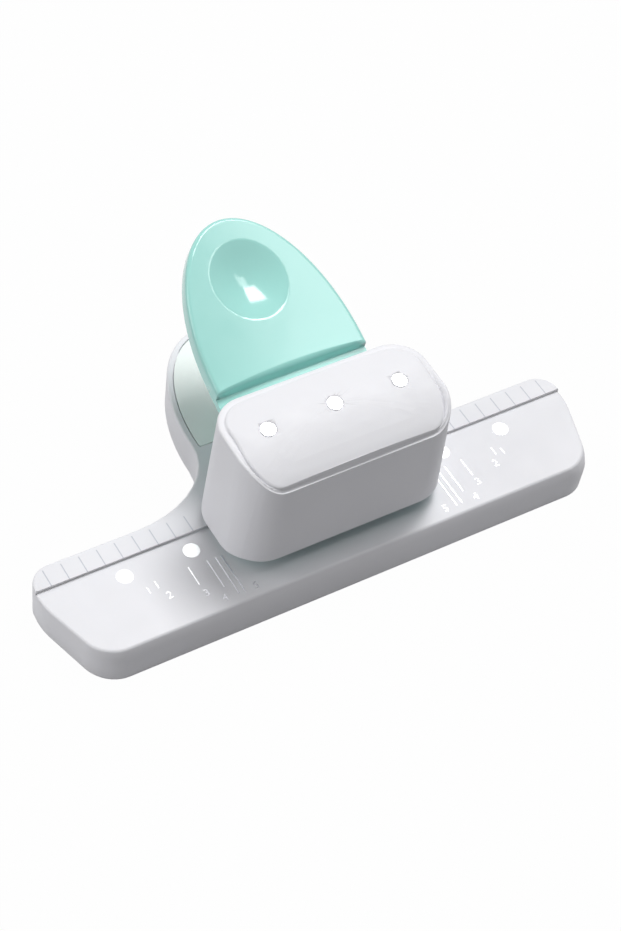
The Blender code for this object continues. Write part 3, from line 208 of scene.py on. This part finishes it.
# The floor: its reach in metres, its two tones, and how white the camera sees it
FLOOR_REACH = 4.0
FLOOR_TONES = ("A8A8AA", "ACACAE")
FLOOR_WHITE_SHARE = 0.985

# Lamps: name, way from the aim point, distance, width and depth in metres, and their power
AIM_HEIGHT = 20.0
LAMPS = (("key_softbox", (0.36, 0.27, 0.89), 1.5, 0.62, 0.5, "key_power"),
         ("side_softbox", (0.5, -0.05, 0.86), 1.5, 0.42, 0.42, "side_power"),
         ("rear_softbox", (-0.7, 0.5, 0.51), 1.4, 0.6, 0.5, "rear_power"),
         ("fill_softbox", (-0.92, 0.05, 0.39), 1.2, 0.6, 0.5, "fill_power"))

# The camera: its sensor in millimetres, its focal length in the picture's pixels, its near end
SENSOR_SIZE = 36
PICTURE_HEIGHT_PIXELS = 931
FOCAL_PIXELS = 2208.4
CLIP_START = 10.0


def linear(hex_colour):
    """sRGB hex text as linear red, green, blue."""
    values = []
    for index in (0, 2, 4):
        part = int(hex_colour[index:index + 2], 16) / 255
        values.append(part / 12.92 if part <= 0.04045 else ((part + 0.055) / 1.055) ** 2.4)
    return tuple(values)


class PunchColours(bpy.types.PropertyGroup):
    """Colours of the moulded, metal and rubber pieces."""

    shell: FloatVectorProperty(name="White ABS", description="Moulded white shells",
                               subtype="COLOR", size=3, min=0, max=1, default=linear("E6E6EA"))
    panel: FloatVectorProperty(name="Lobe panel", description="Pale insert in the rear lobe",
                               subtype="COLOR", size=3, min=0, max=1, default=linear("F2F8F5"))
    mint: FloatVectorProperty(name="Mint ABS", description="Polished thumb lever and frame",
                              subtype="COLOR", size=3, min=0, max=1, default=linear("A3E0D8"))
    steel: FloatVectorProperty(name="Steel", description="Ground steel",
                               subtype="COLOR", size=3, min=0, max=1, default=linear("C4C5C8"))
    wire: FloatVectorProperty(name="Spring wire", description="Drawn spring wire",
                              subtype="COLOR", size=3, min=0, max=1, default=linear("9C9EA2"))
    rubber: FloatVectorProperty(name="Rubber", description="Foot pads",
                                subtype="COLOR", size=3, min=0, max=1, default=linear("2A2A2C"))
    ink: FloatVectorProperty(name="Ink", description="Pale ink in the ruler's ticks",
                             subtype="COLOR", size=3, min=0, max=1, default=linear("C6C9D1"))
    foil: FloatVectorProperty(name="Foil", description="Stamped marks on plate and cap",
                              subtype="COLOR", size=3, min=0, max=1, default=linear("F7F8FA"))


class PunchSizes(bpy.types.PropertyGroup):
    """Sizes of the stamped marks and of the surface texture."""

    dot_radius: FloatProperty(name="Dot radius", description="Radius of a hole position dot",
                              unit="LENGTH", default=2.25 * MM, min=0.5 * MM)
    cap_mark_radius: FloatProperty(name="Cap mark radius", description="Radius of a cap disc",
                                   unit="LENGTH", default=1.92 * MM, min=0.5 * MM)
    line_width: FloatProperty(name="Line width", description="Width of a size line",
                              unit="LENGTH", default=0.32 * MM, min=0.05 * MM)
    numeral_height: FloatProperty(name="Numeral height", description="Height of a numeral",
                                  unit="LENGTH", default=2.2 * MM, min=0.5 * MM)
    foil_thickness: FloatProperty(name="Foil thickness", description="Height of the marks",
                                  unit="LENGTH", default=0.03 * MM, min=0.001 * MM)
    grain: FloatProperty(name="Grain", description="Size of the mould's spark texture",
                         unit="LENGTH", default=0.35 * MM, min=0.05 * MM)


class PunchStage(bpy.types.PropertyGroup):
    """Camera and lamps."""

    azimuth: FloatProperty(name="Azimuth", description="Camera's turn about the object",
                           subtype="ANGLE", default=math.radians(-36.71))
    elevation: FloatProperty(name="Elevation", description="Camera's height angle",
                             subtype="ANGLE", default=math.radians(49.75))
    roll: FloatProperty(name="Roll", description="Camera's turn about its own view",
                        subtype="ANGLE", default=math.radians(8.56))
    distance: FloatProperty(name="Distance", description="Camera to the aim point",
                            unit="LENGTH", default=584.7 * MM)
    aim_across: FloatProperty(name="Aim across", description="Aim point to the picture's right",
                              unit="LENGTH", default=-1.39 * MM)
    aim_up: FloatProperty(name="Aim up", description="Aim point up the picture",
                          unit="LENGTH", default=15.61 * MM)
    lens: FloatProperty(name="Lens", description="Focal length in millimetres on a 36 mm sensor",
                        default=FOCAL_PIXELS * SENSOR_SIZE / PICTURE_HEIGHT_PIXELS)
    key_power: FloatProperty(name="Key power", description="Overhead softbox in watts",
                             default=14.8)
    side_power: FloatProperty(name="Side power", description="Right softbox in watts",
                              default=2.8)
    rear_power: FloatProperty(name="Rear power", description="Rear left softbox in watts",
                              default=3.2)
    fill_power: FloatProperty(name="Fill power", description="Left softbox in watts", default=2.8)
    ambient: FloatProperty(name="Ambient", description="Strength of the white surround",
                           default=0.2)


def add_node(tree, kind, inputs=None, **settings):
    """One shader node with its settings; inputs may be values or sockets."""
    node = tree.nodes.new(kind)
    for name, value in settings.items():
        setattr(node, name, value)
    for name, value in (inputs or {}).items():
        socket = node.inputs[name]
        if isinstance(value, bpy.types.NodeSocket):
            tree.links.new(value, socket)
        else:
            socket.default_value = value
    return node


def start_material(name):
    """A material with a Principled shader wired to its output."""
    material = bpy.data.materials.new(name)
    material.use_nodes = True
    tree = material.node_tree
    tree.nodes.clear()
    shader = add_node(tree, "ShaderNodeBsdfPrincipled")
    add_node(tree, "ShaderNodeOutputMaterial", {"Surface": shader.outputs["BSDF"]})
    coords = add_node(tree, "ShaderNodeTexCoord").outputs["Object"]
    return material, tree, shader, coords


def moulded_plastic(name, colour, gloss, grain, depth):
    """A moulded piece's finish: spark texture, slow flow marks and handling smears."""
    material, tree, shader, coords = start_material(name)
    flow = add_node(tree, "ShaderNodeTexNoise",
                    {"Vector": coords, "Scale": 1 / (FLOW_MARK_SIZE * MM), "Detail": 2.0})
    smear = add_node(tree, "ShaderNodeTexNoise",
                     {"Vector": coords, "Scale": 1 / (SMEAR_SIZE * MM), "Detail": 4.0,
                      "Roughness": 0.6})
    wave = add_node(tree, "ShaderNodeTexNoise",
                    {"Vector": coords, "Scale": 1 / (SINK_WAVE_SIZE * MM), "Detail": 1.0})
    spark = add_node(tree, "ShaderNodeTexNoise",
                     {"Vector": coords, "Scale": 1 / grain, "Detail": 2.0})
    darker = tuple(part * (1 - FLOW_CONTRAST) for part in colour)
    lighter = tuple(min(1.0, part * (1 + FLOW_CONTRAST)) for part in colour)
    mix = add_node(tree, "ShaderNodeMix", {"Factor": flow.outputs["Fac"]}, data_type="RGBA")
    mix.inputs["A"].default_value = (*darker, 1)
    mix.inputs["B"].default_value = (*lighter, 1)
    tree.links.new(mix.outputs["Result"], shader.inputs["Base Color"])
    rough = add_node(tree, "ShaderNodeMapRange",
                     {"Value": smear.outputs["Fac"], **NOISE_SPAN,
                      "To Min": gloss[0], "To Max": gloss[1]})
    tree.links.new(rough.outputs["Result"], shader.inputs["Roughness"])
    texture = add_node(tree, "ShaderNodeBump", {"Height": spark.outputs["Fac"],
                                                "Distance": depth})
    sink = add_node(tree, "ShaderNodeBump", {"Height": wave.outputs["Fac"],
                                             "Distance": SINK_WAVE_DEPTH * MM,
                                             "Normal": texture.outputs["Normal"]})
    tree.links.new(sink.outputs["Normal"], shader.inputs["Normal"])
    shader.inputs["IOR"].default_value = ABS_IOR
    shader.inputs["Subsurface Weight"].default_value = ABS_GLOW_WEIGHT
    shader.inputs["Subsurface Radius"].default_value = ABS_GLOW_RADIUS
    shader.inputs["Subsurface Scale"].default_value = ABS_GLOW_DEPTH * MM
    return material


def worked_steel(name, colour, gloss, stretch):
    """Ground or drawn steel: hairlines along one axis and faint stains."""
    material, tree, shader, coords = start_material(name)
    drawn = add_node(tree, "ShaderNodeMapping", {"Vector": coords, "Scale": stretch})
    hair = add_node(tree, "ShaderNodeTexNoise",
                    {"Vector": drawn.outputs["Vector"], "Scale": 1 / (HAIRLINE_SIZE * MM),
                     "Detail": 4.0, "Roughness": 0.7})
    stain = add_node(tree, "ShaderNodeTexNoise",
                     {"Vector": coords, "Scale": 1 / (STAIN_SIZE * MM), "Detail": 3.0})
    mix = add_node(tree, "ShaderNodeMix", {"Factor": stain.outputs["Fac"]}, data_type="RGBA")
    darker = tuple(part * (1 - STAIN_CONTRAST) for part in colour)
    lighter = tuple(min(1.0, part * (1 + STAIN_CONTRAST)) for part in colour)
    mix.inputs["A"].default_value = (*darker, 1)
    mix.inputs["B"].default_value = (*lighter, 1)
    tree.links.new(mix.outputs["Result"], shader.inputs["Base Color"])
    rough = add_node(tree, "ShaderNodeMapRange",
                     {"Value": hair.outputs["Fac"], **NOISE_SPAN,
                      "To Min": gloss[0], "To Max": gloss[1]})
    tree.links.new(rough.outputs["Result"], shader.inputs["Roughness"])
    lines = add_node(tree, "ShaderNodeBump", {"Height": hair.outputs["Fac"],
                                              "Distance": HAIRLINE_DEPTH * MM})
    tree.links.new(lines.outputs["Normal"], shader.inputs["Normal"])
    shader.inputs["Metallic"].default_value = 1.0
    return material


def stamped_foil(colour):
    """Hot-stamped foil: mirror bright, with the faint pull of the stamping film."""
    material, tree, shader, coords = start_material("stamped_bright_foil")
    wear = add_node(tree, "ShaderNodeTexNoise",
                    {"Vector": coords, "Scale": 1 / (FOIL_WEAR_SIZE * MM), "Detail": 3.0})
    mix = add_node(tree, "ShaderNodeMix", {"Factor": wear.outputs["Fac"]}, data_type="RGBA")
    mix.inputs["A"].default_value = (*(part * (1 - FOIL_CONTRAST) for part in colour), 1)
    mix.inputs["B"].default_value = (*colour, 1)
    tree.links.new(mix.outputs["Result"], shader.inputs["Base Color"])
    rough = add_node(tree, "ShaderNodeMapRange",
                     {"Value": wear.outputs["Fac"], **NOISE_SPAN,
                      "To Min": FOIL_GLOSS[0], "To Max": FOIL_GLOSS[1]})
    tree.links.new(rough.outputs["Result"], shader.inputs["Roughness"])
    shader.inputs["Metallic"].default_value = 1.0
    return material


def cap_inset(x, y, z):
    """How far a point lies inside the cap's outer wall, in millimetres."""
    across = abs(x) - (CAP_HALF_WIDTH - CAP_CORNER)
    along = abs(y - (CAP_REAR - CAP_FRONT) / 2) - ((CAP_REAR + CAP_FRONT) / 2 - CAP_CORNER)
    outside = math.hypot(max(across, 0.0), max(along, 0.0)) + min(max(across, along), 0.0)
    return CAP_CORNER - outside - (z - CAP_FOOT) * CAP_DRAFT


def clamped(value):
    """A value kept between nought and one."""
    return max(0.0, min(1.0, value))


def crown_fall(y):
    """How far the drawn crown's even arc lies below its level, in millimetres."""
    return CROWN_ARC_SHARE * max(0.0, CROWN_ARC_START - y) ** 2


def slice_cap(bm):
    """Cut lines across the cap, close enough for its crown to bend evenly."""
    count = int((CAP_FRONT + CAP_REAR) / SLICE_PITCH)
    for index in range(1, count):
        place = (PUNCH_LINE - CAP_FRONT + SLICE_PITCH * index + SLICE_OFFSET) * MM
        bmesh.ops.bisect_plane(bm, geom=bm.verts[:] + bm.edges[:] + bm.faces[:],
                               dist=SLICE_TOUCH * MM, plane_co=(0, place, 0), plane_no=(0, 1, 0))


def brow_shift(x, y, z):
    """How far a point of the cap goes forward and up for the brow, in millimetres."""
    run = clamped((-BROW_START - y) / (BROW_END - BROW_START) / BROW_EASE_SHARE)
    ease = run * run * (3 - 2 * run)
    rim_share = max(0.0, -RIM_BROW_START - y) / (CAP_FRONT - RIM_BROW_START)
    crown_share = max(0.0, -CROWN_BROW_START - y) / (CAP_FRONT - CROWN_BROW_START)
    rim = RIM_LEVEL - SOLID_RIM_FALL * rim_share ** 2
    rim_lift = (SOLID_RIM_FALL - RIM_FALL) * rim_share ** 2
    level = CROWN_LEVEL - CAP_MARK_FALL * (x / CAP_HALF_WIDTH) ** 2
    level -= CROWN_REAR_FALL * (max(0.0, y) / CAP_REAR) ** 2
    crown = level - SOLID_CROWN_FALL * crown_share ** 3
    arc = level - crown_fall(y - CROWN_REACH * ease)
    wall = clamped((z - CAP_FOOT) / (rim - CAP_FOOT))
    inset = cap_inset(x, y, z)
    depth = crown - z
    by_rim = RIM_INSET < inset < COVE_MIDDLE_INSET and wall > RIM_HEIGHT_SHARE
    by_crown = COVE_MIDDLE_INSET <= inset < COVE_END_INSET and depth < COVE_DEPTH
    reach = RIM_REACH
    if inset > CROWN_INSET and depth < CROWN_DEPTH:
        seat = min(math.hypot(x - place, y) for place in CAP_MARK_PLACES)
        lift = arc - crown
        if inset > CROWN_FLAT_INSET and (seat > SEAT_RADIUS or depth < SEAT_LIP):
            lift = arc - z
        reach = CROWN_REACH
    elif by_rim or by_crown:
        share = (inset - RIM_INSET) / (COVE_END_INSET - RIM_INSET)
        lift = rim_lift + (arc - crown - rim_lift) * share
        lift += COVE_RISE * 4 * share * (1 - share) * ease
        reach += (CROWN_REACH - RIM_REACH) * share
    else:
        lift = rim_lift * wall + FOOT_LIFT * ease * (1 - wall)
    return reach * ease * wall, lift


def raise_brow(bm):
    """Carry the cap's front forward over the ruler strip and keep its brow high."""
    for vert in bm.verts:
        forward, lift = brow_shift(vert.co.x / MM, vert.co.y / MM - PUNCH_LINE, vert.co.z / MM)
        vert.co.y -= forward * MM
        vert.co.z += lift * MM


def straighten_roll(bm):
    """Draw the roll at the lever's foot forward in the middle, nearly in line with its ends."""
    turn = math.radians(LEVER_TILT_DEGREES)
    along_y, along_z = math.cos(turn), math.sin(turn)
    for vert in bm.verts:
        y, z = vert.co.y / MM - PIVOT_Y, vert.co.z / MM - PIVOT_Z
        along, rise = y * along_y + z * along_z, z * along_y - y * along_z
        arch = max(0.0, 1 - (vert.co.x / MM / ROLL_HALF_WIDTH) ** 2)
        foot = ROLL_FOOT + ROLL_FOOT_ARCH * arch
        share = (along - foot) / (ROLL_RUN + ROLL_RUN_ARCH * arch)
        if rise > ROLL_LOWEST and -ROLL_MARGIN_SHARE < share < 1 + ROLL_MARGIN_SHARE:
            shift = arch * (ROLL_FOOT_SHIFT + ROLL_RUN_SHIFT * share) * MM
            vert.co.y -= shift * along_y
            vert.co.z -= shift * along_z


def settle(name, mesh, material, body):
    """A mesh as a piece that rides on a body."""
    mesh.materials.clear()
    mesh.materials.append(material)
    piece = bpy.data.objects.new(name, mesh)
    bpy.context.scene.collection.objects.link(piece)
    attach(piece, body)
    return piece


def dress(node_name, material, sharp_degrees=SHARP_DEGREES):
    """A merged, smoothly shaded copy that stands for a node."""
    node = frame["nodes"][node_name]
    bm = bmesh.new()
    bm.from_mesh(node.data)
    bmesh.ops.remove_doubles(bm, verts=bm.verts, dist=MERGE_DISTANCE * MM)
    if node_name == "cap":
        slice_cap(bm)
        raise_brow(bm)
    if node_name == "lever":
        straighten_roll(bm)
    bmesh.ops.dissolve_limit(bm, angle_limit=math.radians(FLAT_DEGREES), verts=bm.verts,
                             edges=bm.edges)
    mesh = bpy.data.meshes.new(node_name + "_finished")
    bm.to_mesh(mesh)
    bm.free()
    mesh.shade_smooth()
    mesh.set_sharp_from_angle(angle=math.radians(sharp_degrees))
    record = frame["record"]
    bodies = record["behaviour"]["bodies"]
    body = next(name for name, members in bodies.items() if node_name in members)
    piece = settle(node_name + "_finished", mesh, material, body)
    even = piece.modifiers.new("even_shading", "WEIGHTED_NORMAL")
    even.mode = "FACE_AREA"
    even.keep_sharp = True
    even.weight = SHADING_WEIGHT
    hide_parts(node_name)


def settle_marks(name, bm, material):
    """Marks of foil or ink as one piece that stays with the base."""
    bmesh.ops.recalc_face_normals(bm, faces=bm.faces)
    mesh = bpy.data.meshes.new(name)
    bm.to_mesh(mesh)
    bm.free()
    settle(name, mesh, material, "base")


class PUNCH_OT_plastics(bpy.types.Operator):
    """Give the moulded pieces their plastics"""

    bl_idname = "punch.plastics"
    bl_label = "Moulded plastics"

    def execute(self, context):
        colours = context.scene.punch_colours
        sizes = context.scene.punch_sizes
        # White ABS from a finely spark-eroded mould: low satin, with a soft broad highlight
        white = moulded_plastic("abs_white_satin", tuple(colours.shell), SATIN_GLOSS,
                                sizes.grain, SATIN_DEPTH * MM)
        for name in SHELL_NODES:
            dress(name, white)
        # Pale ABS insert from a coarser mould: its deeper texture breaks the highlight up
        pale = moulded_plastic("abs_pale_matt", tuple(colours.panel), MATT_GLOSS,
                               sizes.grain, MATT_DEPTH * MM)
        dress("lobe_panel", pale)
        # Mint ABS from a polished mould: clear reflections of the lamps
        mint = moulded_plastic("abs_mint_polished", tuple(colours.mint), POLISH_GLOSS,
                               sizes.grain, POLISH_DEPTH * MM)
        for name in MINT_NODES:
            dress(name, mint)
        return {"FINISHED"}


class PUNCH_OT_metals(bpy.types.Operator):
    """Give the punches, clips, pins, screws and springs their steels"""

    bl_idname = "punch.metals"
    bl_label = "Steel pieces"

    def execute(self, context):
        colours = context.scene.punch_colours
        # Ground steel: bright, with fine lines along each punch
        steel = worked_steel("steel_ground", tuple(colours.steel), STEEL_GLOSS, (1, 1, 0.08))
        for name in STEEL_NODES:
            dress(name, steel)
        # Drawn spring wire: darker, with lines that lie level, as the turns nearly do
        wire = worked_steel("steel_spring_drawn", tuple(colours.wire), WIRE_GLOSS, (0.2, 0.2, 1))
        for name in WIRE_NODES:
            dress(name, wire, sharp_degrees=WIRE_SHARP_DEGREES)
        return {"FINISHED"}


class PUNCH_OT_feet(bpy.types.Operator):
    """Give the feet their rubber"""

    bl_idname = "punch.feet"
    bl_label = "Rubber feet"

    def execute(self, context):
        # Moulded rubber: dark and matt, with a pebbled face
        rubber = moulded_plastic("rubber_moulded_matt", tuple(context.scene.punch_colours.rubber),
                                 RUBBER_GLOSS, PEBBLE_SIZE * MM, PEBBLE_DEPTH * MM)
        for name in FOOT_NODES:
            dress(name, rubber)
        return {"FINISHED"}


class PUNCH_OT_foil(bpy.types.Operator):
    """Stamp the dots, size lines, numerals and cap discs"""

    bl_idname = "punch.foil"
    bl_label = "Foil marks"

    def execute(self, context):
        sizes = context.scene.punch_sizes
        # Hot-stamped foil: a mirror-bright film that the light catches at some angles only
        foil = stamped_foil(tuple(context.scene.punch_colours.foil))
        self.stamp_dots(sizes, foil)
        self.stamp_lines(sizes, foil)
        self.stamp_numerals(context, sizes, foil)
        self.stamp_cap(sizes, foil)
        # Pale ink, dried matt in the ruler's grooves
        ink = moulded_plastic("ink_pale_matt", tuple(context.scene.punch_colours.ink),
                              INK_GLOSS, sizes.grain, INK_DEPTH * MM)
        self.fill_ticks(ink)
        return {"FINISHED"}

    def fill_ticks(self, ink):
        bm = bmesh.new()
        for index in range(TICK_COUNT):
            x = TICK_FIRST + TICK_PITCH * index
            for side in (-x, x):
                middle = (side * MM, (PUNCH_LINE + (TICK_NEAR + TICK_FAR) / 2) * MM,
                          (TICK_FLOOR + TICK_FACE) / 2 * MM)
                size = Matrix.Diagonal((TICK_WIDTH * MM, (TICK_FAR - TICK_NEAR) * MM,
                                        (TICK_FACE - TICK_FLOOR) * MM, 1))
                bmesh.ops.create_cube(bm, size=1.0, matrix=Matrix.Translation(middle) @ size)
        settle_marks("ruler_tick_ink", bm, ink)

    def stamp_dots(self, sizes, foil):
        bm = bmesh.new()
        for x in DOT_PLACES:
            place = Matrix.Translation((x * MM, PUNCH_LINE * MM, PLATE_TOP * MM))
            bmesh.ops.create_cone(bm, cap_ends=True, segments=ROUND_SEGMENTS,
                                  radius1=sizes.dot_radius, radius2=sizes.dot_radius,
                                  depth=2 * sizes.foil_thickness, matrix=place)
        settle_marks("foil_dots", bm, foil)

    def stamp_lines(self, sizes, foil):
        bm = bmesh.new()
        for x, near, far in SIZE_LINES:
            for side in (-x, x):
                middle = (side * MM, (PUNCH_LINE + (near + far) / 2) * MM, PLATE_TOP * MM)
                size = Matrix.Diagonal((sizes.line_width, (far - near) * MM,
                                        2 * sizes.foil_thickness, 1))
                bmesh.ops.create_cube(bm, size=1.0, matrix=Matrix.Translation(middle) @ size)
        settle_marks("foil_size_lines", bm, foil)

    def stamp_numerals(self, context, sizes, foil):
        bm = bmesh.new()
        for body, x, y in NUMERAL_PLACES:
            curve = bpy.data.curves.new("numeral", "FONT")
            curve.body = body
            curve.align_x = "CENTER"
            curve.align_y = "CENTER"
            curve.size = sizes.numeral_height * NUMERAL_SIZE_SHARE
            curve.extrude = sizes.foil_thickness
            text = bpy.data.objects.new("numeral", curve)
            context.scene.collection.objects.link(text)
            mesh = bpy.data.meshes.new_from_object(
                text.evaluated_get(context.evaluated_depsgraph_get()))
            mesh.transform(Matrix.Translation((x * MM, (PUNCH_LINE + y) * MM, PLATE_TOP * MM)))
            bm.from_mesh(mesh)
            bpy.data.objects.remove(text)
            bpy.data.curves.remove(curve)
            bpy.data.meshes.remove(mesh)
        settle_marks("foil_numerals", bm, foil)

    def stamp_cap(self, sizes, foil):
        bm = bmesh.new()
        nod = Matrix.Rotation(math.atan(2 * CROWN_ARC_SHARE * CROWN_ARC_START), 4, "X")
        for x in CAP_MARK_PLACES:
            share = x / CAP_HALF_WIDTH
            floor = CAP_MARK_FLOOR - CAP_MARK_FALL * share * share - crown_fall(0.0)
            lean = math.atan(2 * CAP_MARK_FALL * share / CAP_HALF_WIDTH)
            place = Matrix.Translation((x * MM, PUNCH_LINE * MM,
                                        (floor + CAP_MARK_DEPTH / 2) * MM))
            bmesh.ops.create_cone(bm, cap_ends=True, segments=ROUND_SEGMENTS,
                                  radius1=sizes.cap_mark_radius, radius2=sizes.cap_mark_radius,
                                  depth=CAP_MARK_DEPTH * MM,
                                  matrix=place @ Matrix.Rotation(lean, 4, "Y") @ nod)
        settle_marks("foil_cap_discs", bm, foil)


def seen_rays(tree):
    """One for rays from the camera, mirrors and clear pieces, zero for the rest."""
    path = add_node(tree, "ShaderNodeLightPath")
    mirrored = add_node(tree, "ShaderNodeMath", {0: path.outputs["Is Camera Ray"],
                                                 1: path.outputs["Is Glossy Ray"]},
                        operation="ADD", use_clamp=True)
    seen = add_node(tree, "ShaderNodeMath", {0: mirrored.outputs["Value"],
                                             1: path.outputs["Is Transmission Ray"]},
                    operation="ADD", use_clamp=True)
    return seen.outputs["Value"]


class PUNCH_OT_stage(bpy.types.Operator):
    """Set the floor, the lamps and the camera"""

    bl_idname = "punch.stage"
    bl_label = "Floor, light and camera"

    def execute(self, context):
        stage = context.scene.punch_stage
        self.make_floor(context)
        self.make_world(context, stage)
        self.make_lamps(context, stage)
        self.make_camera(context, stage)
        context.scene.view_settings.view_transform = "Standard"
        return {"FINISHED"}

    def make_floor(self, context):
        bm = bmesh.new()
        bmesh.ops.create_grid(bm, x_segments=1, y_segments=1, size=FLOOR_REACH)
        mesh = bpy.data.meshes.new("floor")
        bm.to_mesh(mesh)
        bm.free()
        floor = bpy.data.objects.new("floor", mesh)
        context.scene.collection.objects.link(floor)
        # Matt paper sweep, nearly pure white to the camera and greyer to the object
        material, tree, shader, coords = start_material("paper_sweep_matt")
        fibre = add_node(tree, "ShaderNodeTexNoise",
                         {"Vector": coords, "Scale": 1 / (PAPER_FIBRE_SIZE * MM), "Detail": 3.0})
        mix = add_node(tree, "ShaderNodeMix", {"Factor": fibre.outputs["Fac"]}, data_type="RGBA")
        mix.inputs["A"].default_value = (*linear(FLOOR_TONES[0]), 1)
        mix.inputs["B"].default_value = (*linear(FLOOR_TONES[1]), 1)
        tree.links.new(mix.outputs["Result"], shader.inputs["Base Color"])
        shader.inputs["Roughness"].default_value = PAPER_GLOSS
        shine = add_node(tree, "ShaderNodeEmission", {"Color": (1, 1, 1, 1), "Strength": 1.0})
        share = add_node(tree, "ShaderNodeMath", {0: seen_rays(tree), 1: FLOOR_WHITE_SHARE},
                         operation="MULTIPLY")
        blend = add_node(tree, "ShaderNodeMixShader", {"Fac": share.outputs["Value"],
                                                       1: shader.outputs["BSDF"],
                                                       2: shine.outputs["Emission"]})
        output = next(node for node in tree.nodes if node.type == "OUTPUT_MATERIAL")
        tree.links.new(blend.outputs["Shader"], output.inputs["Surface"])
        mesh.materials.append(material)

    def make_world(self, context, stage):
        world = bpy.data.worlds.new("studio")
        context.scene.world = world
        world.use_nodes = True
        back = world.node_tree.nodes["Background"]
        back.inputs["Color"].default_value = (1, 1, 1, 1)
        strength = add_node(world.node_tree, "ShaderNodeMapRange",
                            {"Value": seen_rays(world.node_tree), "To Min": stage.ambient,
                             "To Max": 1.0})
        world.node_tree.links.new(strength.outputs["Result"], back.inputs["Strength"])

    def make_lamps(self, context, stage):
        aim = Vector((0, PUNCH_LINE * MM, AIM_HEIGHT * MM))
        for name, way, distance, width, depth, power in LAMPS:
            data = bpy.data.lights.new(name, "AREA")
            data.shape = "RECTANGLE"
            data.size = width
            data.size_y = depth
            data.energy = getattr(stage, power)
            lamp = bpy.data.objects.new(name, data)
            context.scene.collection.objects.link(lamp)
            toward = Vector(way).normalized()
            across = Vector((0, 1, 0)).cross(toward).normalized()
            basis = Matrix((across, toward.cross(across), toward)).transposed().to_4x4()
            lamp.matrix_world = Matrix.Translation(aim + toward * distance) @ basis

    def make_camera(self, context, stage):
        turn, lift, roll = stage.azimuth, stage.elevation, stage.roll
        back = Vector((math.sin(turn) * math.cos(lift), -math.cos(turn) * math.cos(lift),
                       math.sin(lift)))
        flat = Vector((math.cos(turn), math.sin(turn), 0))
        rise = back.cross(flat)
        right = flat * math.cos(roll) + rise * math.sin(roll)
        up = rise * math.cos(roll) - flat * math.sin(roll)
        data = bpy.data.cameras.new("camera")
        data.lens = stage.lens
        data.sensor_width = SENSOR_SIZE
        data.clip_start = CLIP_START * MM
        camera = bpy.data.objects.new("camera", data)
        context.scene.collection.objects.link(camera)
        place = back * stage.distance + right * stage.aim_across + up * stage.aim_up
        place.y += PUNCH_LINE * MM
        basis = Matrix((right, up, back)).transposed().to_4x4()
        camera.matrix_world = Matrix.Translation(place) @ basis
        context.scene.camera = camera


class PUNCH_PT_panel(bpy.types.Panel):
    """Lists the steps that dress the punch"""

    bl_idname = "PUNCH_PT_panel"
    bl_label = "Three-hole punch"
    bl_space_type = "VIEW_3D"
    bl_region_type = "UI"
    bl_category = "Punch"

    def draw(self, context):
        layout = self.layout
        for step in STEPS:
            layout.operator(step.bl_idname)
        for group in (context.scene.punch_colours, context.scene.punch_sizes,
                      context.scene.punch_stage):
            for name in group.__annotations__:
                layout.prop(group, name)


STEPS = (PUNCH_OT_plastics, PUNCH_OT_metals, PUNCH_OT_feet, PUNCH_OT_foil, PUNCH_OT_stage)
GROUPS = (("punch_colours", PunchColours), ("punch_sizes", PunchSizes),
          ("punch_stage", PunchStage))


def register():
    for name, group in GROUPS:
        bpy.utils.register_class(group)
        setattr(bpy.types.Scene, name, PointerProperty(type=group))
    for step in STEPS:
        bpy.utils.register_class(step)
    bpy.utils.register_class(PUNCH_PT_panel)


def unregister():
    bpy.utils.unregister_class(PUNCH_PT_panel)
    for step in reversed(STEPS):
        bpy.utils.unregister_class(step)
    for name, group in reversed(GROUPS):
        delattr(bpy.types.Scene, name)
        bpy.utils.unregister_class(group)


def main():
    register()
    bpy.ops.punch.plastics()
    bpy.ops.punch.metals()
    bpy.ops.punch.feet()
    bpy.ops.punch.foil()
    bpy.ops.punch.stage()


if __name__ == "__main__":
    main()
